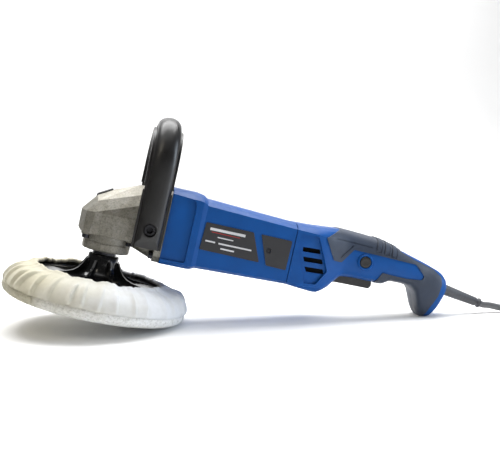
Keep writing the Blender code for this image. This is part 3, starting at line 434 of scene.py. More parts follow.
def cotton_cloth():
    """Plain-woven calico: threads both ways, slubs, and painted light: a faint, uneven yellow tint, darker
    and warmer towards the left, paler and cooler to the right.
    """
    look = Look("cotton", (0.76, 0.75, 0.70), 0.92, Sheen_Weight=0.15, Sheen_Roughness=0.5)
    # Painted light: a left-to-right gradient in x, warm and darker on the left, pale and cool on the right,
    # stands for the light falling on the skirt.
    cast = look.along(-0.225, -0.135)
    slub = look.noise(260.0, 3.0, 0.6)
    base = look.ramp(
        cast, (0.1, (0.52, 0.49, 0.375)), (0.6, (0.58, 0.57, 0.52)), (0.9, (0.68, 0.69, 0.705))
    )
    thread = look.ramp(slub, (0.3, (0.95, 0.95, 0.945)), (0.6, (1.0, 1.0, 1.0)))
    look.color(look.blend(1.0, base, thread, "MULTIPLY"))
    weave = look.node("ShaderNodeTexWave", Scale=420.0, Distortion=2.0, Detail=1.0)
    weave.bands_direction = "Z"
    look.link(look.place, weave.inputs["Vector"])
    cross = look.node("ShaderNodeTexWave", Scale=420.0, Distortion=2.5, Detail=1.0)
    cross.bands_direction = "DIAGONAL"
    look.link(look.place, cross.inputs["Vector"])
    look.bump(weave.outputs["Fac"], 0.00006, 0.5)
    look.bump(cross.outputs["Fac"], 0.00006, 0.5)
    look.bump(look.noise(900.0, 3.0, 0.6), 0.00005, 0.4)
    return look.material


def wool_pile():
    """Matted wool: curled clumps with painted shade between them, and painted light: warmer and darker
    towards the left, paler to the right.
    """
    look = Look("wool", (0.55, 0.53, 0.46), 0.97, Sheen_Weight=0.25, Sheen_Roughness=0.6)
    clump = look.noise(330.0, 5.0, 0.7, 0.6)
    # Painted light: the same left-to-right gradient as the cotton, darker and warmer on the left.
    painted_light_tone = look.along(-0.225, -0.135)
    base = look.ramp(painted_light_tone, (0.1, (0.44, 0.41, 0.30)), (0.7, (0.82, 0.825, 0.815)))
    # Painted shade: darker between the clumps.
    shade = look.ramp(
        clump, (0.32, (0.62, 0.61, 0.58)), (0.5, (0.95, 0.95, 0.94)), (0.66, (1.05, 1.05, 1.05))
    )
    look.color(look.blend(1.0, base, shade, "MULTIPLY"))
    look.bump(clump, 0.0009, 0.9)
    look.bump(look.noise(1500.0, 3.0, 0.7), 0.0003, 0.7)
    return look.material


LOOKS = {
    "blue": moulded(
        "blue_plastic", (0.0015, 0.066, 0.27), 0.42, grain=2600.0, depth=0.00003, Specular_IOR_Level=0.2
    ),
    "rubber": moulded(
        "soft_rubber", (0.013, 0.024, 0.05), 0.56,
        grain=1500.0, depth=0.00006, variation=0.2, Sheen_Weight=0.15,
    ),
    "void": moulded("shadow_plastic", (0.003, 0.0035, 0.0045), 0.8, Specular_IOR_Level=0.1),
    "black": moulded(
        "black_plastic", (0.011, 0.0105, 0.0105), 0.34, grain=1900.0, depth=0.00005, variation=0.25
    ),
    "gloss_black": moulded(
        "gloss_black", (0.008, 0.008, 0.009), 0.17, grain=500.0, depth=0.00003, variation=0.2
    ),
    "plate_black": moulded("plate_black", (0.016, 0.016, 0.019), 0.42, grain=2400.0, depth=0.00003),
    "cast": cast_metal(),
    "machined": metal(
        "machined_aluminium", (0.50, 0.49, 0.47), 0.36, 700.0, 0.00003, (1.0, 1.0, 9.0), metallic=0.85
    ),
    "steel": metal("steel", (0.55, 0.55, 0.57), 0.27),
    "dark_steel": metal("dark_steel", (0.035, 0.035, 0.04), 0.33, metallic=0.7),
    "laminated": metal("laminated_steel", (0.22, 0.22, 0.24), 0.45, 400.0, 0.0001, (8.0, 1.0, 1.0)),
    "copper": metal("copper", (0.62, 0.25, 0.1), 0.32, 500.0, 0.00008, (1.0, 6.0, 6.0)),
    "brass": metal("brass", (0.6, 0.44, 0.15), 0.33),
    "carbon": moulded("carbon", (0.02, 0.02, 0.021), 0.7),
    "foam": moulded("foam", (0.17, 0.17, 0.175), 0.93, grain=700.0, depth=0.0003),
    "wool": wool_pile(),
    "cotton": cotton_cloth(),
    "cord": moulded("cord_rubber", (0.07, 0.073, 0.082), 0.45, grain=1300.0, depth=0.00005, variation=0.15),
    "sheath": moulded("cord_sheath", (0.15, 0.155, 0.165), 0.42, grain=1300.0, depth=0.00005),
    "red": moulded("red_ink", (0.35, 0.012, 0.015), 0.4),
    "pale": moulded("pale_ink", (0.6, 0.6, 0.62), 0.45),
}

SLOTS = {
    "blue": "blue_plastic",
    "rubber": "soft_rubber",
    "cast": "cast_aluminium",
    "machined": "cast_aluminium",
    "dark_steel": "dark_steel",
    "brass": "brass",
    "cord": "cord_rubber",
    "wool": "wool",
    "cotton": "cotton",
    **dict.fromkeys(("black", "gloss_black", "plate_black", "void", "pale", "red"), "black_plastic"),
}


def numbered(name, count):
    return tuple(f"{name}_{i + 1}" for i in range(count))


NODE_LOOKS = {
    "foam": ("foam_pad",),
    "steel": (
        "crown_gear",
        "intermediate_shaft",
        "reduction_gear",
        "armature_shaft",
        "spindle_bearing_upper",
        "intermediate_bearing_front",
        "intermediate_bearing_rear",
        "armature_bearing_front",
        "armature_bearing_rear",
    ),
    "dark_steel": (
        "spindle_shaft",
        "spindle_bearing_lower",
        *numbered("retainer_screw", 4),
        *numbered("gearbox_screw", 4),
        *numbered("handle_screw", 2),
    ),
    "laminated": ("stator_core", "rotor_core"),
    "copper": ("field_coil_front", "field_coil_rear", "commutator"),
    "brass": ("brush_holder_left", "brush_holder_right"),
    "carbon": ("carbon_brush_left", "carbon_brush_right"),
    "black": ("cooling_fan", "switch_module"),
}
for look_name, node_names in NODE_LOOKS.items():
    for node_name in node_names:
        node_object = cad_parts[node_name]
        node_object.data.materials.clear()
        node_object.data.materials.append(LOOKS[look_name])


# ---------------------------------------------------------------- mains cord

CORD_DIAMETER = 7.0
RELIEF_START = Vector((358.0, 0.0, 91.8))
RELIEF_TIP = Vector((405.5, 0.0, 84.5))
COIL_CENTRE = Vector((484.0, -46.0, 0.0))
COIL_OUTER = 45.7
COIL_SITES = ((42, 3.5), (35, 3.5), (35, 10.5), (42, 10.5), (42, 17.5), (35, 17.5), (35, 24.5), (42, 24.5))
SITE_TURN = 320.0  # degrees that the cord stays at one site, with the move to the next one at the end
SITE_MOVE = 40.0
COIL_TURN = 2430.0
PLUG_START = Vector((471.0, 19.0, 17.7))
CORD_ROUTE = ((427.0, 0.0, 7.6), (438.0, -0.6, 5.0), (449.0, -2.6, 3.8))
TAIL_ROUTE = ((443.0, -11.0, 22.6), (446.5, 2.5, 20.8), (453.0, 13.0, 19.0), (462.0, 18.6, 17.9))


def to_floor(point):
    """A point of the tool's frame in millimetres over the floor, with x = 0 below the spindle's foot."""
    return Vector((COS * point.x + SIN * point.z, point.y, COS * point.z - SIN * point.x + LIFT))


def smooth_route(points, per_span=6):
    """Points of a smooth curve through all the given ones."""
    points = [Vector(point) for point in points]
    points = [2 * points[0] - points[1]] + points + [2 * points[-1] - points[-2]]
    route = []
    for before, start, end, after in zip(points, points[1:], points[2:], points[3:]):
        for i in range(per_span):
            route.append(through(before, start, end, after, i / per_span))
    return route + [points[-2]]


def coil_point(turn):
    """Middle of the cord after that many degrees of coil, clockwise from the back."""
    site = min(int(turn / SITE_TURN), len(COIL_SITES) - 1)
    along = turn - site * SITE_TURN
    share = 0.0
    if site < len(COIL_SITES) - 1 and along > SITE_TURN - SITE_MOVE:
        t = (along - SITE_TURN + SITE_MOVE) / SITE_MOVE
        share = t * t * (3 - 2 * t)
    here, after = COIL_SITES[site], COIL_SITES[min(site + 1, len(COIL_SITES) - 1)]
    radius = here[0] + (after[0] - here[0]) * share
    height = here[1] + (after[1] - here[1]) * share
    angle = math.radians(90 - turn)
    return COIL_CENTRE + Vector((radius * math.cos(angle), radius * math.sin(angle), height))


def cord_points():
    tip, back = to_floor(RELIEF_TIP), to_floor(RELIEF_START)
    direction = (tip - back).normalized()
    start = tip + direction * 0.3
    clear = math.sqrt((COIL_OUTER + 0.3) ** 2 - 38.5**2)
    arrival = Vector((COIL_CENTRE.x - clear, COIL_CENTRE.y + 42, 3.6))
    entry = smooth_route([start, start + direction * 4, *CORD_ROUTE, arrival])
    winding = [coil_point(turn) for turn in range(0, int(COIL_TURN) + 1, 9)]
    departure = Vector((COIL_CENTRE.x - 42, COIL_CENTRE.y + clear, 24.5))
    plug_end = PLUG_START - Vector((0.3, 0, 0))
    tail = smooth_route([departure, *TAIL_ROUTE, plug_end - Vector((4, 0, 0)), plug_end])
    return entry + winding + tail


def make_cord():
    route = [FLOOR @ point for point in cord_points()]
    curve = bpy.data.curves.new("cord", "CURVE")
    curve.dimensions = "3D"
    curve.bevel_depth = CORD_DIAMETER / 2 * MM
    curve.bevel_resolution = 5
    curve.use_fill_caps = True
    spline = curve.splines.new("POLY")
    spline.points.add(len(route) - 1)
    for point, place in zip(spline.points, route):
        point.co = (*place, 1.0)
    spline.use_smooth = True
    curve.materials.append(LOOKS["sheath"])
    cord = bpy.data.objects.new("cord", curve)
    scene.collection.objects.link(cord)
    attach(cord, "tool_body")
    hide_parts("mains_cord", "cord_coil", "cord_tail")
    length = sum((end - start).length for start, end in zip(route, route[1:]))
    return cord, route[0], length


def make_plug():
    """Moulded two-pin plug: ribbed bend relief, waisted body with finger grooves, and a flat face."""
    profile = [(0, 0), (4.3, 0), (4.7, 0.6)]
    for i in range(5):
        at = 1.6 + 3.2 * i
        for radius, step in ((4.8, 0), (4.0, 0.5), (4.0, 1.5), (4.9, 2.0)):
            profile.append((radius + 0.12 * i, at + step))
    profile += [
        (5.6, 18.2), (7.4, 19.4), (9.2, 23), (10.2, 28), (11.2, 34), (13.2, 40), (15.6, 43.6),
        (17.0, 46.4),
    ]
    profile += [(17.3, 48), (17.3, 55.4), (16.7, 56.6), (15.9, 57), (0, 57)]
    body = along_x(turned(profile, 72))
    grooves = []
    for side in (-1, 1):
        for i in range(3):
            groove = box((26 + 3.4 * i, side * 9.9 - 1.6, -7), (27.4 + 3.4 * i, side * 9.9 + 1.6 + side, 7))
            grooves.append(groove)
    body = moved(without(body, *grooves), *PLUG_START)
    plug = piece("plug_body", body, "cord", "plug", place=FLOOR, bevel=0.25)
    pins = []
    for side in (-1, 1):
        sleeve = [(0, 56.8), (2.35, 56.8), (2.35, 75), (1.9, 75.8), (1.3, 76), (0, 76)]
        pins.append(
            moved(along_x(turned(sleeve, 32)), PLUG_START.x, PLUG_START.y + 9.5 * side, PLUG_START.z)
        )
    pins = piece("plug_pins", joined(*pins), "brass", place=FLOOR)
    return plug, pins


def make_tie():
    """Hook-and-loop strap round one side of the coil, with a lapped end."""
    low, high, top, foot = 31.3 - 0.5, 45.7 + 0.5, 28.6 + 0.5, 0.5
    outer, inner = [], []
    corners = ((low, foot, 0), (low, top, 1), (high, top, 1), (high, foot, 0))
    for radius, height, rounded in corners:
        if not rounded:
            sign = -1 if radius == low else 1
            inner.append((radius, height))
            outer.append((radius + sign * 1.0, height))
            continue
        centre = (radius + (2.5 if radius == low else -2.5), height - 2.5)
        start = math.pi if radius == low else math.pi / 2
        for i in range(7):
            angle = start - (math.pi / 2) * i / 6
            inner.append((centre[0] + 2.5 * math.cos(angle), centre[1] + 2.5 * math.sin(angle)))
            outer.append((centre[0] + 3.5 * math.cos(angle), centre[1] + 3.5 * math.sin(angle)))
    strap = prism(inner + outer[::-1], -3.0, 3.0)
    lap = box((33.5, -2.7, top + 0.9), (42.5, 2.7, top + 1.7))
    lean = Matrix.Rotation(math.radians(-35), 4, "Z")
    both = transformed(joined(strap, lap), Matrix.Translation(COIL_CENTRE) @ lean)
    return piece("coil_tie", both, "black", "cord_tie", place=FLOOR, bevel=0.2)


def relief_place():
    """Turns z to point along the bend relief, from its start."""
    axis = (RELIEF_TIP - RELIEF_START).normalized()
    turn = Vector((0, 0, 1)).rotation_difference(axis).to_matrix().to_4x4()
    return Matrix.Translation(RELIEF_START) @ turn


def make_relief():
    """Tapered bend relief with slotted rings and a collar at its tip."""
    length = (RELIEF_TIP - RELIEF_START).length
    profile = [(0, -8), (6.1, -8), (6.1, 1.0), (6.0, 3.0)]
    for i in range(12):
        at = 4.5 + i * 3.2
        radius = 5.95 - 0.11 * i
        profile += [(radius, at), (radius, at + 2.3), (radius - 0.18, at + 2.6), (radius - 0.18, at + 2.9)]
    profile += [
        (3.9, length - 4.4), (3.9, length - 3.2), (5.0, length - 2.6), (5.3, length - 1.4),
        (4.9, length - 0.3),
    ]
    profile += [(4.0, length), (0, length)]
    bm = transformed(turned(profile, 64), relief_place())
    piece("bend_relief", bm, "cord", "strain_relief", bevel=0.15)


cord, cord_exit, cord_length = make_cord()
plug, plug_pins = make_plug()
tie = make_tie()
make_relief()


# ---------------------------------------------------------------- bonnet, plate and spindle


def fold_noise(angle, radius, seed):
    """Smooth noise that repeats after a full turn."""
    return noise.noise(Vector((math.cos(angle) * radius, math.sin(angle) * radius, seed)))


def interpolated(points, share):
    """Point of a smooth curve through (radius, height) points, where share runs from 0 to 1."""
    spans = len(points) - 1
    at = min(share, 0.999999) * spans
    i = int(at)
    t = at - i
    before = points[max(i - 1, 0)]
    start, end = points[i], points[i + 1]
    after = points[min(i + 2, spans)]
    return [through(before[k], start[k], end[k], after[k], t) for k in range(2)]


FOLDS = 34


def fold_table():
    """Strong folds of the skirt as (angle, height, width, lean, start, end), scattered unevenly round it."""
    random.seed(31)
    folds = []
    for i in range(FOLDS):
        angle = math.tau * (i + random.uniform(-0.36, 0.36)) / FOLDS
        folds.append(
            (
                angle,
                random.uniform(1.6, 4.4),
                random.uniform(0.02, 0.042),
                random.uniform(-0.11, 0.11),
                random.uniform(0.0, 0.3),
                random.uniform(0.75, 1.1),
            )
        )
    return folds


def fold_height(folds, angle, share):
    """Height of the sharp folds over the cloth, steep on one side and soft on the other."""
    total = 0.0
    for centre, height, width, lean, start, end in folds:
        off = (angle - centre - lean * (share - 0.5) + math.pi) % math.tau - math.pi
        if abs(off) > 0.3:
            continue
        side = width * (0.42 if off > 0 else 1.5)
        fade = max(0.0, min(1.0, (share - start + 0.14) / 0.14, (end - share) / 0.2))
        total += height * math.exp(-((off / side) ** 2)) * fade
    return total


def make_skirt():
    """Cotton skirt gathered by the elastic in its rolled hem, with sharp folds, swells and small gathers."""
    profile = [
        (91.4, 12.0), (92.2, 14.6), (91.6, 19.0), (88.2, 25.2), (82.0, 30.6), (74.4, 33.6), (66.6, 35.2)
    ]
    hem = [(65.0, 36.0), (63.4, 35.2), (63.2, 33.6), (64.4, 32.4), (66.0, 32.6)]
    around, across, rolled = 620, 36, 8
    folds = fold_table()
    bm = bmesh.new()
    rows = []
    for row in range(across + rolled + 1):
        ring = []
        share = min(1.0, row / across)
        if row <= across:
            radius0, height0 = interpolated(profile, share)
        else:
            radius0, height0 = interpolated([profile[-1], *hem], (row - across) / rolled)
        middle = math.sin(math.pi * min(1.0, share * 1.02)) ** 0.7
        near_hem = max(0.0, (share - 0.62) / 0.38)
        near_seam = max(0.0, 1 - share * 5)
        for column in range(around):
            angle = math.tau * column / around
            fold = fold_height(folds, angle, share)
            swell = fold_noise(angle, 2.6, 11.0 + share * 0.8)
            slack = fold_noise(angle, 1.1, 20.0)
            small = fold_noise(angle, 12.0, 50.0 + share * 0.5)
            small += 0.5 * fold_noise(angle, 24.0, 60.0 + share * 0.4)
            out = fold * (0.35 + 0.65 * middle) * (1 - 0.5 * near_hem) + 3.0 * swell * middle - 2.4 * middle
            radius = radius0 + 0.8 * out + slack * middle
            height = height0 + 0.75 * out * (0.25 + share) + 0.6 * small * near_hem * 2.2
            radius += (
                0.7 * small * near_seam
                - 1.9 * abs(small) * near_hem
                + 1.6 * fold_noise(angle, 4.0, 40.0) * near_hem
            )
            height += (
                1.8 * fold_noise(angle, 5.0, 30.0) * near_hem
                + (0.7 * small + 0.8 * fold_noise(angle, 7.0, 70.0)) * near_seam
            )
            ring.append(bm.verts.new((radius * math.cos(angle), radius * math.sin(angle), height)))
        rows.append(ring)
    bridged(bm, rows)
    bmesh.ops.recalc_face_normals(bm, faces=bm.faces)
    skirt = piece("skirt", bm, "cotton", "bonnet_skirt", body="spindle", smooth=80)
    thick = skirt.modifiers.new("thickness", "SOLIDIFY")
    thick.thickness = 0.7 * MM
    thick.offset = 0
    return skirt


SEAM_RADIUS = 92.0


def make_stitching():
    """Stitches that hold the skirt's seam to the wool."""
    count = 190
    stitches = []
    for i in range(count):
        angle = math.tau * i / count
        stitch = turned([(0, -1.05), (0.22, -0.9), (0.36, -0.4), (0.36, 0.4), (0.22, 0.9), (0, 1.05)], 6)
        lean = Matrix.Rotation(math.radians(62), 4, "X")
        place = Matrix.Rotation(angle, 4, "Z") @ Matrix.Translation((SEAM_RADIUS, 0, 12.4)) @ lean
        stitches.append(transformed(stitch, place))
    piece("seam_stitches", joined(*stitches), "cotton", body="spindle", smooth=60)


def make_wool():
    """Wool face of the bonnet: a matted pad with uneven edges and curled tufts round its side."""
    outline = [(0, 0.0), (40, 0.0), (66, 0.0), (78, 0.05), (84, 0.9), (88.4, 2.7), (91.4, 5.4), (92.8, 8.6)]
    outline += [
        (92.6, 11.2), (91.0, 12.9), (86, 13.2), (84.4, 12.4), (84.0, 9.8), (80.2, 6.8), (40, 6.7),
        (0, 6.7),
    ]
    around = 360
    rows = []
    bm = bmesh.new()
    steps = []
    for start, end in zip(outline, outline[1:]):
        span = math.dist(start, end)
        fine = min(start[0], end[0]) > 77 and min(start[1], end[1]) < 12.5
        count = max(1, round(span / (1.0 if fine else 9.0)))
        steps += [(start, end, i / count) for i in range(count)]
    random.seed(7)
    middle_low = bm.verts.new((0, 0, 0))
    middle_high = bm.verts.new((0, 0, 6.7))
    for start, end, t in steps[1:]:
        ring = []
        radius0 = start[0] + (end[0] - start[0]) * t
        height0 = start[1] + (end[1] - start[1]) * t
        outside = radius0 > 79 and not (radius0 < 90 and height0 > 6)
        for column in range(around):
            angle = math.tau * column / around
            radius, height = radius0, height0
            if outside:
                at = Vector((math.cos(angle) * 26, math.sin(angle) * 26, height0 * 0.42))
                clump = noise.noise(at) * 0.65 + noise.noise(at * 2.3) * 0.35
                inward = 0.75 * (1 - clump)
                radius -= inward * min(1.0, (radius0 - 79) / 8)
                height += 0.35 * inward if height0 < 3 else 0.35 * clump
            ring.append(bm.verts.new((radius * math.cos(angle), radius * math.sin(angle), height)))
        rows.append(ring)
    for i in range(around):
        j = (i + 1) % around
        bm.faces.new((middle_low, rows[0][j], rows[0][i]))
        bm.faces.new((middle_high, rows[-1][i], rows[-1][j]))
    bridged(bm, rows)
    bmesh.ops.recalc_face_normals(bm, faces=bm.faces)
    wool = piece("wool_pad", bm, "wool", "wool_face", body="spindle", smooth=180)
    tufts = bmesh.new()
    for _ in range(5200):
        angle = random.uniform(0, math.tau)
        climb = random.uniform(0.0, 1.0)
        radius, height = interpolated(
            [(86.5, 2.2), (90.0, 4.4), (92.0, 7.4), (92.2, 10.2), (91.6, 12.2)], climb
        )
        out = Vector((math.cos(angle), math.sin(angle), 0))
        root = out * (radius - 1.0) + Vector((0, 0, height))
        side = Vector((-math.sin(angle), math.cos(angle), 0))
        away = out + side * random.uniform(-1.1, 1.1) + Vector((0, 0, random.uniform(-0.5, 0.6)))
        away = away.normalized()
        across = away.cross(Vector((0, 0, 1))).normalized()
        upright = away.cross(across).normalized()
        long, wide = random.uniform(1.1, 2.0), random.uniform(0.22, 0.5)
        base = [root + (across * math.cos(a) + upright * math.sin(a)) * wide for a in (0, 2.1, 4.2)]
        corners = [tufts.verts.new(point) for point in base]
        tip = tufts.verts.new(root + away * long)
        for i in range(3):
            tufts.faces.new((corners[i], corners[(i + 1) % 3], tip))
        tufts.faces.new(corners[::-1])
    bmesh.ops.recalc_face_normals(tufts, faces=tufts.faces)
    piece("wool_tufts", tufts, "wool", body="spindle", smooth=180)


def make_plate():
    """Glossy backing plate: dished disc, flared hub with ribs that sweep up it, and a raised rim."""
    profile = [
        (0, 26), (76.6, 26), (78.2, 26.5), (79, 27.3), (78.4, 28.1), (75, 28.6), (66, 29.8), (60, 30.6)
    ]
    profile += [
        (45, 30.9), (30, 31), (25, 31.9), (21.6, 33.6), (19.0, 36), (17.2, 39), (16.1, 42.4), (15.6, 46)
    ]
    profile += [(15.5, 54.0), (15.1, 54.7), (14.4, 55), (7.1, 55), (7.1, 35), (0, 35)]
    plate = turned(profile, 112)
    ribs = []
    for i in range(8):
        outline = [
            (12, 29), (56, 29.4), (55, 31.2), (46, 32.0), (36, 33.3), (29.5, 35.2), (25, 38.2),
            (21.6, 42.2),
        ]
        outline += [(19.2, 46.4), (17.4, 49.4), (12, 50.6)]
        ribs.append(turned_about_z(prism(outline, -1.25, 1.25), (i + 0.5) * math.tau / 8))
    plate = united(plate, *ribs)
    piece("plate", plate, "gloss_black", "backing_plate", body="spindle", bevel=0.5, steps=3)


skirt = make_skirt()
make_stitching()
make_wool()
make_plate()


# ---------------------------------------------------------------- gear head


def make_gear_head():
    refined("gear_case", "gear_housing", "cast", bevel=0.5, steps=3, angle=7, smooth=7)
    refined("rear_plate", "bearing_plate", "machined", bevel=0.4)
    profile = [
        (8.7, 59), (22.3, 59), (23.4, 59.5), (24, 60.6), (24, 67.0), (23.5, 67.4), (23.5, 68.1),
        (24, 68.5),
    ]
    profile += [(24, 74.6), (23.6, 75), (20.8, 75), (20.8, 71.2), (16.3, 71.2), (16.3, 60.6), (8.7, 60.6)]
    retainer = turned(profile, 112)
    screws = ((-22, -13), (22, -13), (-22, 13), (22, 13))
    ears = [moved(rod(5.0, 73.0, 75.0), x, y) for x, y in screws]
    cuts = [moved(rod(4.3, 50, 73.0), x, y) for x, y in screws]
    cuts += [moved(rod(2.3, 72, 77), x, y) for x, y in screws]
    cuts.append(along_x(rod(9.2, 10, 30), 80.65))
    retainer = without(united(retainer, *ears), *cuts)
    piece("retainer", retainer, "cast", "bearing_retainer", bevel=0.35)
    refined("lock_button", "spindle_lock_button", "black", body="lock_button", bevel=0.5, steps=3)


make_gear_head()


# ---------------------------------------------------------------- loop handle

LOOP_X = 36.7
LOOP_HALF = 14.5
LOOP_BOLT = (36.9, 91.7)


def loop_curve(half_width, top, spring, angle):
    """Point of a D-shaped arch over the tool, where angle runs from 0 at one side to pi at the other."""
    power = 2 / 2.5
    across, up = math.cos(angle), math.sin(angle)
    y = half_width * math.copysign(abs(across) ** power, across)
    return y, spring + (top - spring) * abs(up) ** power


def loop_stations():
    steps = 72
    arch = []
    for i in range(steps + 1):
        angle = math.pi * i / steps
        arch.append((loop_curve(-37.0, 181.0, 141.0, angle), loop_curve(-50.0, 204.0, 146.0, angle)))
    legs = (73.5, 90.0, 108.0, 125.0)
    left = [((-37.0, z), (-50.0, z)) for z in legs]
    right = [((37.0, z), (50.0, z)) for z in reversed(legs)]
    return left + arch + right


def loop_band(section):
    rings = []
    for inner, outer in loop_stations():
        points = []
        for x, share in section:
            y = inner[0] + (outer[0] - inner[0]) * share
            z = inner[1] + (outer[1] - inner[1]) * share
            points.append((LOOP_X + x, y, z))
        rings.append(points)
    return lofted(rings)


def make_loop_handle():
    """Two moulded shells: a crowned outer one, and an inner one that shows as a lip along both edges."""
    crown = []
    for i in range(17):
        u = -1 + i / 8
        crown.append((u * 12.3, 0.52 + 0.48 * (1 - abs(u) ** 2.2) ** 0.5))
    outer = loop_band([(12.3, 0.5), (-12.3, 0.5)] + crown)
    palm = []
    for i in range(13):
        u = 1 - i / 6
        palm.append((u * LOOP_HALF, 0.24 - 0.24 * (1 - abs(u) ** 3.0) ** 0.5))
    inner = loop_band([(-LOOP_HALF, 0.465), (LOOP_HALF, 0.465)] + palm)
    cuts_outer, cuts_inner = [], []
    for side in (-1, 1):
        slope = [(51.0, 86.0), (43.6, 70.6), (43.6, 60.0), (70.0, 60.0), (70.0, 86.0)]
        cuts_outer.append(lofted([[(x, side * y, z) for y, z in slope] for x in (15, 60)]))
        low, high = sorted((side * 30, side * 60))
        cuts_outer.append(along_y(rod(4.6, low, high), *LOOP_BOLT))
        cuts_inner.append(along_y(rod(4.6, low, high), *LOOP_BOLT))
        low, high = sorted((side * 44.2, side * 60))
        cuts_outer.append(along_y(rod(6.5, low, high, 64), *LOOP_BOLT))
        for x in (LOOP_X - LOOP_HALF, LOOP_X + LOOP_HALF):
            low, high = sorted((side * 30, side * 60))
            cuts_inner.append(box((x - 1.2, low, 129.5), (x + 1.2, high, 133.5)))
    outer = without(outer, *cuts_outer)
    inner = without(inner, *cuts_inner)
    piece("loop_outer", outer, "black", "loop_handle_outer", bevel=0.7, steps=3, angle=35)
    piece("loop_inner", inner, "black", "loop_handle_inner", bevel=0.5, angle=35)
    for label, side in (("left", -1), ("right", 1)):
        profile = [
            (0, 25), (4.0, 25), (4.0, 44.4), (5.4, 44.4), (5.7, 44.7), (5.7, 45.6), (5.3, 46.0),
            (0, 46.0),
        ]
        hexagon = [(3.6 * math.cos(a * math.tau / 6), 3.6 * math.sin(a * math.tau / 6)) for a in range(6)]
        socket = lofted([[(x, y, z) for x, y in hexagon] for z in (38.0, 50)])
        bolt = without(turned(profile, 48), socket)
        if side < 0:
            transformed(bolt, Matrix.Rotation(math.pi, 4, "X"))
        name = f"loop_handle_bolt_{label}"
        piece(f"loop_bolt_{label}", along_y(bolt, *LOOP_BOLT), "dark_steel", name, bevel=0.25)


make_loop_handle()


# ---------------------------------------------------------------- motor housing

HOUSING_SECTIONS = (
    (52.6, 59.5, 136.2, 39.0),
    (77.4, 59.5, 136.2, 39.0),
    (80.5, 59.5, 136.2, 39.0),
    (84.0, 60.0, 135.4, 38.7),
    (88.5, 61.9, 132.3, 36.8),
    (181.8, 64.6, 127.65, 34.4),
)
HOUSING_WALL = 2.8
MOTOR_Z = 96.4
BRUSH_SCREW = (157.2, 95.5)


def half_section(bottom, top, half_width, softness, fine=1):
    """Half of a body section from its top middle to its bottom middle, as (y, z) with y >= 0."""
    square = (
        (0, 0), (0.58, 0), (0.8, 0.03), (1.0, 0.085), (1.0, 0.94), (0.85, 0.985), (0.58, 1.0), (0, 1.0)
    )
    soft = (
        (0, 0), (0.45, 0.01), (0.82, 0.10), (1.0, 0.33), (1.0, 0.72), (0.85, 0.92), (0.45, 1.0),
        (0, 1.0),
    )
    corners = [
        (y0 + (y1 - y0) * softness, z0 + (z1 - z0) * softness) for (y0, z0), (y1, z1) in zip(square, soft)
    ]
    points = []
    for i in range(len(corners) - 1):
        start, end = corners[i], corners[i + 1]
        before = corners[i - 1] if i else (-corners[1][0], corners[1][1])
        after = corners[i + 2] if i + 2 < len(corners) else (-corners[-2][0], corners[-2][1])
        for step in range(fine):
            t = step / fine
            point = []
            for k in range(2):
                curve = through(before[k], start[k], end[k], after[k], t)
                straight = start[k] + (end[k] - start[k]) * t
                point.append(straight + (curve - straight) * softness)
            points.append(point)
    points.append(corners[-1])
    return [(across * half_width, top + (bottom - top) * down) for across, down in points]


def full_section(x, bottom, top, half_width, softness=0.0, fine=1):
    half = half_section(bottom, top, half_width, softness, fine)
    return [(x, y, z) for y, z in half] + [(x, -y, z) for y, z in reversed(half[1:-1])]


def between(table, x):
    """The row of a table of sections at x, read off between its neighbours."""
    rows = sorted(table)
    for low, high in zip(rows, rows[1:]):
        if low[0] <= x <= high[0]:
            share = (x - low[0]) / (high[0] - low[0])
            return [a + (b - a) * share for a, b in zip(low, high)]
    return list(rows[0] if x < rows[0][0] else rows[-1])


def rounded(corners, radius, steps=5):
    """Outline with each corner replaced by an arc-like curve."""
    points = []
    count = len(corners)
    for i in range(count):
        here = Vector(corners[i])
        back = (Vector(corners[i - 1]) - here).normalized() * radius
        ahead = (Vector(corners[(i + 1) % count]) - here).normalized() * radius
        for step in range(steps + 1):
            t = step / steps
            point = (here + back) * (1 - t) ** 2 + here * 2 * t * (1 - t) + (here + ahead) * t**2
            points.append(tuple(point))
    return points


def side_plate(corners, side, low, high, radius=1.2):
    """Plate that follows the motor housing's flat side from low to high millimetres out of it."""
    outline = rounded(corners, radius)
    rings = []
    for out in (low, high):
        rings.append([(x, side * (between(HOUSING_SECTIONS, x)[3] + out), z) for x, z in outline])
    return lofted(rings)


NAMEPLATE = ((90.0, 110.6), (138.6, 110.2), (150.0, 82.0), (88.6, 83.0))
BRUSH_COVER = ((146.6, 110.0), (179.0, 109.6), (178.6, 79.6), (157.6, 80.4))
COLLAR_PANEL = ((44.0, 131.4), (74.6, 129.6), (77.2, 124.0), (77.2, 66.4), (44.0, 66.0))
FLANGE_POCKET = (
    (-30.2, 60.6), (30.2, 60.6), (36.2, 66.6), (36.2, 127), (30.2, 133), (-30.2, 133), (-36.2, 127),
    (-36.2, 66.6),
)


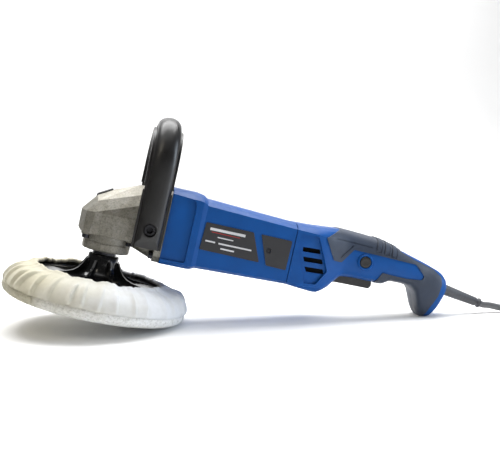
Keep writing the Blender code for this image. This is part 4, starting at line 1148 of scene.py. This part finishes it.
def make_motor_housing():
    rings = [full_section(*row) for row in HOUSING_SECTIONS]
    inside = []
    for x, row in ((86, between(HOUSING_SECTIONS, 86)), *((row[0], row) for row in HOUSING_SECTIONS[4:])):
        inside.append(full_section(x, row[1] + HOUSING_WALL, row[2] - HOUSING_WALL, row[3] - HOUSING_WALL))
    inside.append([(x + 3, y, z) for x, y, z in inside[-1]])
    pocket = lofted([[(x, y, z) for y, z in FLANGE_POCKET] for x in (45.0, 61.1)])
    cuts = [pocket, along_x(rod(33.0, 50, 88, 64), MOTOR_Z), lofted(inside)]
    for side in (-1, 1):
        cuts.append(side_plate(COLLAR_PANEL, side, -2.5, 3.0, 2.8))
    housing = without(lofted(rings), *cuts)
    arms = (
        box((171, -34, MOTOR_Z - 5), (178, 34, MOTOR_Z + 5)),
        box((171, -5, 64.5), (178, 5, 126.6)),
        along_x(rod(14.0, 171, 178), MOTOR_Z),
    )
    housing = united(housing, *arms)
    cuts = [
        along_x(rod(11.3, 170.1, 180), MOTOR_Z),
        box((151.4, -33.4, MOTOR_Z - 7.1), (164.6, 33.4, MOTOR_Z + 7.1)),
    ]
    for y, z in ((-31, 67), (31, 67), (-31, 127), (31, 127)):
        cuts.append(moved(along_x(rod(2.3, 55, 75.5, 24)), 0, y, z))
    for side in (-1, 1):
        cuts.append(along_y(rod(2.6, *sorted((side * 33.0, side * 38.0))), *BRUSH_SCREW))
    housing = flattened(without(housing, *cuts), 0.4)
    piece("motor_case", housing, "blue", "motor_housing", bevel=1.1, steps=4, angle=11, smooth=30)


def make_side_plates():
    """Rating plate with plain bars on the left, and a brush cover with one screw on each side."""
    plate = side_plate(NAMEPLATE, -1, -0.15, 0.75)
    piece("rating_plate", plate, "plate_black", "nameplate_left", bevel=0.25)
    marks = []
    for x, z, long, high in (
        (95.0, 106.4, 36.0, 2.6),
        (104.0, 98.6, 16.0, 1.1),
        (92.6, 93.4, 10.0, 1.5),
        (106.0, 93.0, 34.0, 1.5),
        (109.0, 88.4, 14.0, 1.5),
    ):
        corners = ((x, z), (x + long, z - 0.2), (x + long, z - 0.2 - high), (x, z - high))
        marks.append(side_plate(corners, -1, 0.6, 0.85, 0.3))
    piece("plate_bars", joined(*marks), "pale")
    stripe = side_plate(((97.0, 102.6), (126.0, 102.2), (126.0, 101.5), (97.0, 101.9)), -1, 0.6, 0.85, 0.2)
    piece("plate_stripe", stripe, "red")
    for label, side in (("left", -1), ("right", 1)):
        cover = side_plate(BRUSH_COVER, side, -0.15, 0.8)
        low, high = sorted((side * 30, side * 50))
        cover = without(cover, along_y(rod(2.5, low, high), *BRUSH_SCREW))
        name = f"brush_cover_{label}"
        piece(f"cover_{label}", cover, "plate_black", name, bevel=0.3)
        reach = between(HOUSING_SECTIONS, BRUSH_SCREW[0])[3]
        screw = turned([(0, -1.6), (2.4, -1.6), (2.4, -0.75), (2.0, -0.35), (0, -0.3)], 32)
        screw = without(screw, box((-2.6, -0.3, -0.9), (2.6, 0.3, 0.2)))
        if side < 0:
            transformed(screw, Matrix.Rotation(math.pi, 4, "X"))
        screw = moved(along_y(screw, *BRUSH_SCREW), 0, side * reach, 0)
        piece(f"cover_screw_{label}", screw, "dark_steel", bevel=0.12)


make_motor_housing()
make_side_plates()


# ---------------------------------------------------------------- rear handle


def floor_height(x):
    """Height in the tool's frame of the floor below a point at x."""
    return (SIN * x - LIFT) / COS


HANDLE_SECTIONS = (
    (182.6, 64.6, 127.65, 34.4, 0.0),
    (206.0, 62.4, 128.7, 33.4, 0.1),
    (218.0, 62.0, 130.0, 31.0, 0.3),
    (228.0, 68.0, 131.0, 27.0, 0.6),
    (234.0, 75.0, 131.2, 24.5, 0.8),
    (242.0, 83.0, 131.0, 22.5, 1.0),
    (276.0, 84.5, 128.9, 21.5, 1.0),
    (288.0, 85.0, 126.3, 21.0, 1.0),
    (295.0, 89.3, 124.6, 20.5, 1.0),
    (318.0, 88.6, 118.6, 19.5, 1.0),
    (325.0, 82.5, 116.8, 19.0, 1.0),
    (331.0, 68.0, 115.2, 18.3, 1.0),
    (338.0, floor_height(338.0), 113.1, 17.8, 1.0),
    (347.0, floor_height(347.0), 110.3, 17.0, 1.0),
    (353.0, 68.5, 107.6, 15.5, 1.0),
    (358.0, 80.0, 103.0, 12.5, 1.0),
    (360.5, 86.5, 98.5, 9.0, 1.0),
)
HANDLE_WALL = 2.6
LOCK_ON = (262.0, 103.6)
TRIGGER_ROOM = ((229, -8.2, 55), (280.5, 8.2, 96))
RUBBER_OUTLINE = (
    (244.0, 140.0), (226.4, 128.4), (214.0, 120.0), (227.4, 98.9), (236.5, 98.4), (247.6, 113.8),
    (268.1, 113.4), (294.6, 112.6), (317.9, 112.0), (329.8, 101.6), (327.6, 97.2), (312.2, 95.4),
    (296.3, 95.6), (283.0, 96.4), (278.8, 86.2), (279.0, 74.0), (322.0, 50.0), (337.0, 50.0),
    (343.6, 70.0), (350.2, 84.0), (352.0, 96.0), (350.0, 104.4), (340.0, 110.9), (315.3, 116.6),
    (299.5, 121.9), (297.0, 140.0),
)


def handle_sections(out=0.0):
    """Finely spaced sections of the whole handle, smoothed along it and moved out from its surface."""
    rows = []
    table = HANDLE_SECTIONS
    for i in range(len(table) - 1):
        before, start, end = table[max(i - 1, 0)], table[i], table[i + 1]
        after = table[min(i + 2, len(table) - 1)]
        count = max(1, round((end[0] - start[0]) / 3.0))
        for step in range(count):
            t = step / count
            row = [start[0] + (end[0] - start[0]) * t]
            for k in range(1, 5):
                left = (end[k] - before[k]) / (end[0] - before[0]) * (end[0] - start[0])
                right = (after[k] - start[k]) / (after[0] - start[0]) * (end[0] - start[0])
                curve = (
                    (2 * t**3 - 3 * t**2 + 1) * start[k]
                    + (t**3 - 2 * t**2 + t) * left
                    + (3 * t**2 - 2 * t**3) * end[k]
                    + (t**3 - t**2) * right
                )
                straight = start[k] + (end[k] - start[k]) * t
                row.append(straight + (curve - straight) * 0.75)
            row[1] = max(row[1], floor_height(row[0]))
            rows.append(row)
    rows.append(list(table[-1]))
    moved_out = []
    for x, bottom, top, half_width, softness in rows:
        lowest = floor_height(x) if out > 0 else bottom - out
        moved_out.append((x, max(bottom - out, lowest), top + out, half_width + out, softness))
    return moved_out


def handle_solid(out=0.0, grow_ends=0.0):
    rings = []
    rows = handle_sections(out)
    for i, (x, bottom, top, half_width, softness) in enumerate(rows):
        if i == 0:
            x -= grow_ends
        if i == len(rows) - 1:
            x += grow_ends
        rings.append(full_section(x, bottom, top, half_width, min(softness, 1.0), 4))
    return lofted(rings)


def handle_cavity():
    """Room inside the shells, narrower beside the vents, where the louvres are thick."""
    rings = []
    for x, side_wall in (
        (176, 5.0),
        (206, 5.0),
        (218, 5.0),
        (228, 3.6),
        (236, HANDLE_WALL),
        (244, HANDLE_WALL),
        (276, HANDLE_WALL),
        (288, HANDLE_WALL),
        (296, HANDLE_WALL),
        (312, HANDLE_WALL),
    ):
        _, bottom, top, half_width, softness = between(HANDLE_SECTIONS, max(x, HANDLE_SECTIONS[0][0]))
        rings.append(
            full_section(x, bottom + HANDLE_WALL, top - HANDLE_WALL, half_width - side_wall, softness)
        )
    return lofted(rings)


VENT_PANEL = (
    (187.4, 118.4), (205.6, 119.6), (213.0, 105.0), (222.4, 86.4), (212.4, 71.2), (200.4, 70.6),
    (193.4, 88.0), (187.8, 101.0),
)
VENT_SLOTS = (
    ((191.8, 106.3), (210.2, 107.1), (212.0, 102.5), (192.4, 101.6)),
    ((194.0, 96.7), (214.8, 97.4), (216.8, 92.7), (196.2, 91.9)),
    ((197.6, 87.0), (218.2, 87.6), (219.8, 82.8), (200.4, 82.1)),
)


def make_handle_shells():
    """Two shells that meet on the symmetry plane, with sunk vent panels, slots and the button's ring."""
    for label, side in (("left", -1), ("right", 1)):
        shell = handle_solid()
        keep = box((150, 0.12, 0), (420, 60, 200)) if side > 0 else box((150, -60, 0), (420, -0.12, 200))
        shell = common(shell, keep)
        low, high = sorted((side * 20.0, side * 45.0))
        cuts = [handle_cavity(), box((305, -9, 93), (345, 9, 103)), box(*TRIGGER_ROOM)]
        sunk = rounded(VENT_PANEL, 2.0)
        depth = [
            [(x, side * (between(HANDLE_SECTIONS, x)[3] + out), z) for x, z in sunk] for out in (-2.3, 5.0)
        ]
        cuts.append(lofted(depth))
        for outline in VENT_SLOTS:
            cuts.append(prism(rounded(outline, 0.8), low, high))
        tail = []
        for x in (336, 340, 350):
            _, bottom, top, half_width, softness = between(HANDLE_SECTIONS, x)
            tail.append(full_section(x, bottom + 8 + 3.6, top - 3.6, half_width - 3.6, softness))
        cuts.append(lofted(tail))
        cuts.append(transformed(rod(6.4, -14, 8), relief_place()))
        shell = without(shell, *cuts)
        if side < 0:
            ring = turned(
                [(6.2, -23.6), (6.6, -24.1), (7.6, -24.1), (8.8, -22.4), (8.8, -17), (6.2, -17)], 64
            )
            shell = united(shell, along_y(ring, *LOCK_ON))
            shell = without(shell, along_y(rod(6.2, -30, -15, 64), *LOCK_ON))
        else:
            for x, z in ((224.0, 116.0), (301.0, 106.0)):
                shell = without(shell, along_y(rod(3.9, 9.0, 40, 40), x, z))
        name = f"handle_shell_{label}"
        piece(
            f"handle_{label}", flattened(shell, 0.3), "blue", name, bevel=0.5, steps=3, angle=32,
            smooth=40,
        )


def make_vent_shadow_sheet():
    """Dark sheet inside the shells behind the louvres: painted shade, so that the slots read as dark as the
    shade inside them.
    """
    panels = []
    for side in (-1, 1):
        low, high = sorted((side * 25.6, side * 26.8))
        panels.append(box((188.0, low, 74.0), (222.0, high, 114.0)))
    # Painted shade: a near-black sheet behind the vent slots.
    piece("vent_shadow_sheet", joined(*panels), "void", bevel=0.2)


def line_cut(points, side, width=1.0):
    """Cutters that follow an (x, z) polyline over the rubber's surface."""
    made = []
    low, high = sorted((side * 5.0, side * 45.0))
    for (x0, z0), (x1, z1) in zip(points, points[1:]):
        along = Vector((x1 - x0, z1 - z0)).normalized()
        normal = Vector((-along.y, along.x)) * width / 2
        start = Vector((x0, z0)) - along * 0.3
        end = Vector((x1, z1)) + along * 0.3
        outline = [tuple(start - normal), tuple(end - normal), tuple(end + normal), tuple(start + normal)]
        made.append(prism(outline, low, high))
    return made


THIN_SHARE = 0.03
RUBBER_GROOVES = (
    ((226.6, 121.4), (246.0, 120.6), (266.6, 119.8)),
    ((234.6, 103.6), (245.6, 117.4)),
)


THUMB_BARS = (275.6, 284.6, 293.2)


def thumb_bar_outline(x, gap=0.0):
    """Outline of a thumb bar from the side, at the (x, z) of the tool, widened by a gap all round."""
    lean, half, low = 1.6, 2.3 + gap, 117.0 - 0.12 * (x - 275.6) - gap
    return ((x - half, 140), (x + half, 140), (x + half - lean, low), (x - half - lean, low))


def make_grips():
    """Rubber over the handle's back, its tail and the inside of its hook, with grooves and bar pockets."""
    for label, side in (("left", -1), ("right", 1)):
        low, high = (-60.0, -0.12) if side < 0 else (0.12, 60.0)
        skin = common(handle_solid(0.95, 0.6), prism(rounded(RUBBER_OUTLINE, 1.2, 3), low, high))
        skin = without(skin, handle_solid(0.04, 3.0), least=THIN_SHARE)
        for groove in RUBBER_GROOVES:
            for cutter in line_cut(groove, side):
                skin = without(skin, shaped("DIFFERENCE", cutter, handle_solid(0.35, 0.2)))
        for x in THUMB_BARS:
            pocket = prism(thumb_bar_outline(x, 1.0), *sorted((0.0, side * 23.0)))
            skin = without(skin, without(pocket, handle_solid(0.4, 0.2)))
        skin = without(skin, box(*TRIGGER_ROOM))
        name = f"rubber_grip_{label}"
        piece(
            f"grip_{label}", flattened(skin, 0.3), "rubber", name, bevel=0.3, steps=2, angle=35,
            smooth=40,
        )


def make_thumb_bars():
    """Three raised bars across the top of the grip."""
    for i, x in enumerate(THUMB_BARS):
        low, high = handle_solid(0.4, 0.5), handle_solid(1.75, 0.5)
        bar = common(high, prism(rounded(thumb_bar_outline(x), 0.8, 3), -22, 22))
        bar = without(bar, low)
        piece(f"thumb_bar_{i + 1}", flattened(bar, 0.3), "rubber", bevel=0.35, steps=2, angle=35)


def make_controls():
    outline = [
        (229.8, 69.6), (237.4, 75.6), (276.4, 76.0), (278.6, 79.5), (277.0, 92.0), (246.0, 92.0),
        (240.0, 86.0),
    ]
    trigger = prism(rounded(outline, 1.0, 4), -7.6, 7.6)
    piece("trigger_bar", trigger, "black", "trigger", body="trigger_lever", bevel=0.9, steps=4)
    cap = turned(
        [(0, -24.3), (2.8, -24.4), (4.6, -24.6), (5.3, -24.4), (5.8, -23.8), (5.8, -14.2), (0, -14.2)],
        64,
    )
    piece("lock_on_cap", along_y(cap, *LOCK_ON), "black", "lock_on_button", body="lock_on")


make_handle_shells()
make_vent_shadow_sheet()
make_grips()
make_thumb_bars()
make_controls()


# ---------------------------------------------------------------- floor and light


def make_stage():
    look = Look("floor", (0.93, 0.93, 0.93), 0.6)
    look.color(look.ramp(look.noise(3.0, 2.0, 0.5), (0.3, (0.92, 0.92, 0.92)), (0.7, (0.95, 0.95, 0.95))))
    bm = bmesh.new()
    size = 6.0
    steps = 24
    profile = [(-size, 0.0), (1.6, 0.0)]
    for i in range(1, steps + 1):
        angle = math.pi / 2 * i / steps
        profile.append((1.6 + 1.2 * math.sin(angle), 1.2 - 1.2 * math.cos(angle)))
    profile.append((2.8, 6.0))
    rows = [[bm.verts.new((x, y, z)) for x in (-size, size)] for y, z in profile]
    for low, high in zip(rows, rows[1:]):
        bm.faces.new((low[0], low[1], high[1], high[0]))
    mesh = bpy.data.meshes.new("floor")
    bm.to_mesh(mesh)
    bm.free()
    mesh.materials.append(look.material)
    mesh.shade_smooth()
    floor = bpy.data.objects.new("floor", mesh)
    scene.collection.objects.link(floor)


def make_light(name, place, aim, size, power, color=(1.0, 1.0, 1.0)):
    data = bpy.data.lights.new(name, "AREA")
    data.shape = "RECTANGLE"
    data.size, data.size_y = size
    data.energy = power
    data.color = color
    light = bpy.data.objects.new(name, data)
    light.location = place
    light.rotation_euler = (Vector(aim) - Vector(place)).to_track_quat("-Z", "Y").to_euler()
    scene.collection.objects.link(light)


def make_world():
    world = bpy.data.worlds.new("studio")
    scene.world = world
    world.use_nodes = True
    world.node_tree.nodes["Background"].inputs["Color"].default_value = (1.0, 1.0, 1.0, 1.0)
    world.node_tree.nodes["Background"].inputs["Strength"].default_value = 0.1


make_stage()
make_world()
make_light("overhead", (0.0, 0.35, 1.2), (0.0, 0.05, 0.0), (1.5, 0.9), 34.0)
make_light("backdrop", (0.0, 1.3, 1.9), (0.0, 2.8, 0.7), (2.6, 0.8), 55.0)
make_light("floor", (0.0, -0.9, 2.2), (0.0, -0.9, 0.0), (2.4, 0.8), 8.0)
make_light("warm", (-0.6, -0.9, 1.0), (0.0, 0.0, 0.15), (0.3, 0.3), 2.4, (1.0, 0.92, 0.76))
make_light("rim", (1.1, -0.32, 0.32), (-0.1, 0.0, 0.14), (0.5, 0.7), 9.0, (0.78, 0.88, 1.0))
scene.view_settings.view_transform = "Standard"
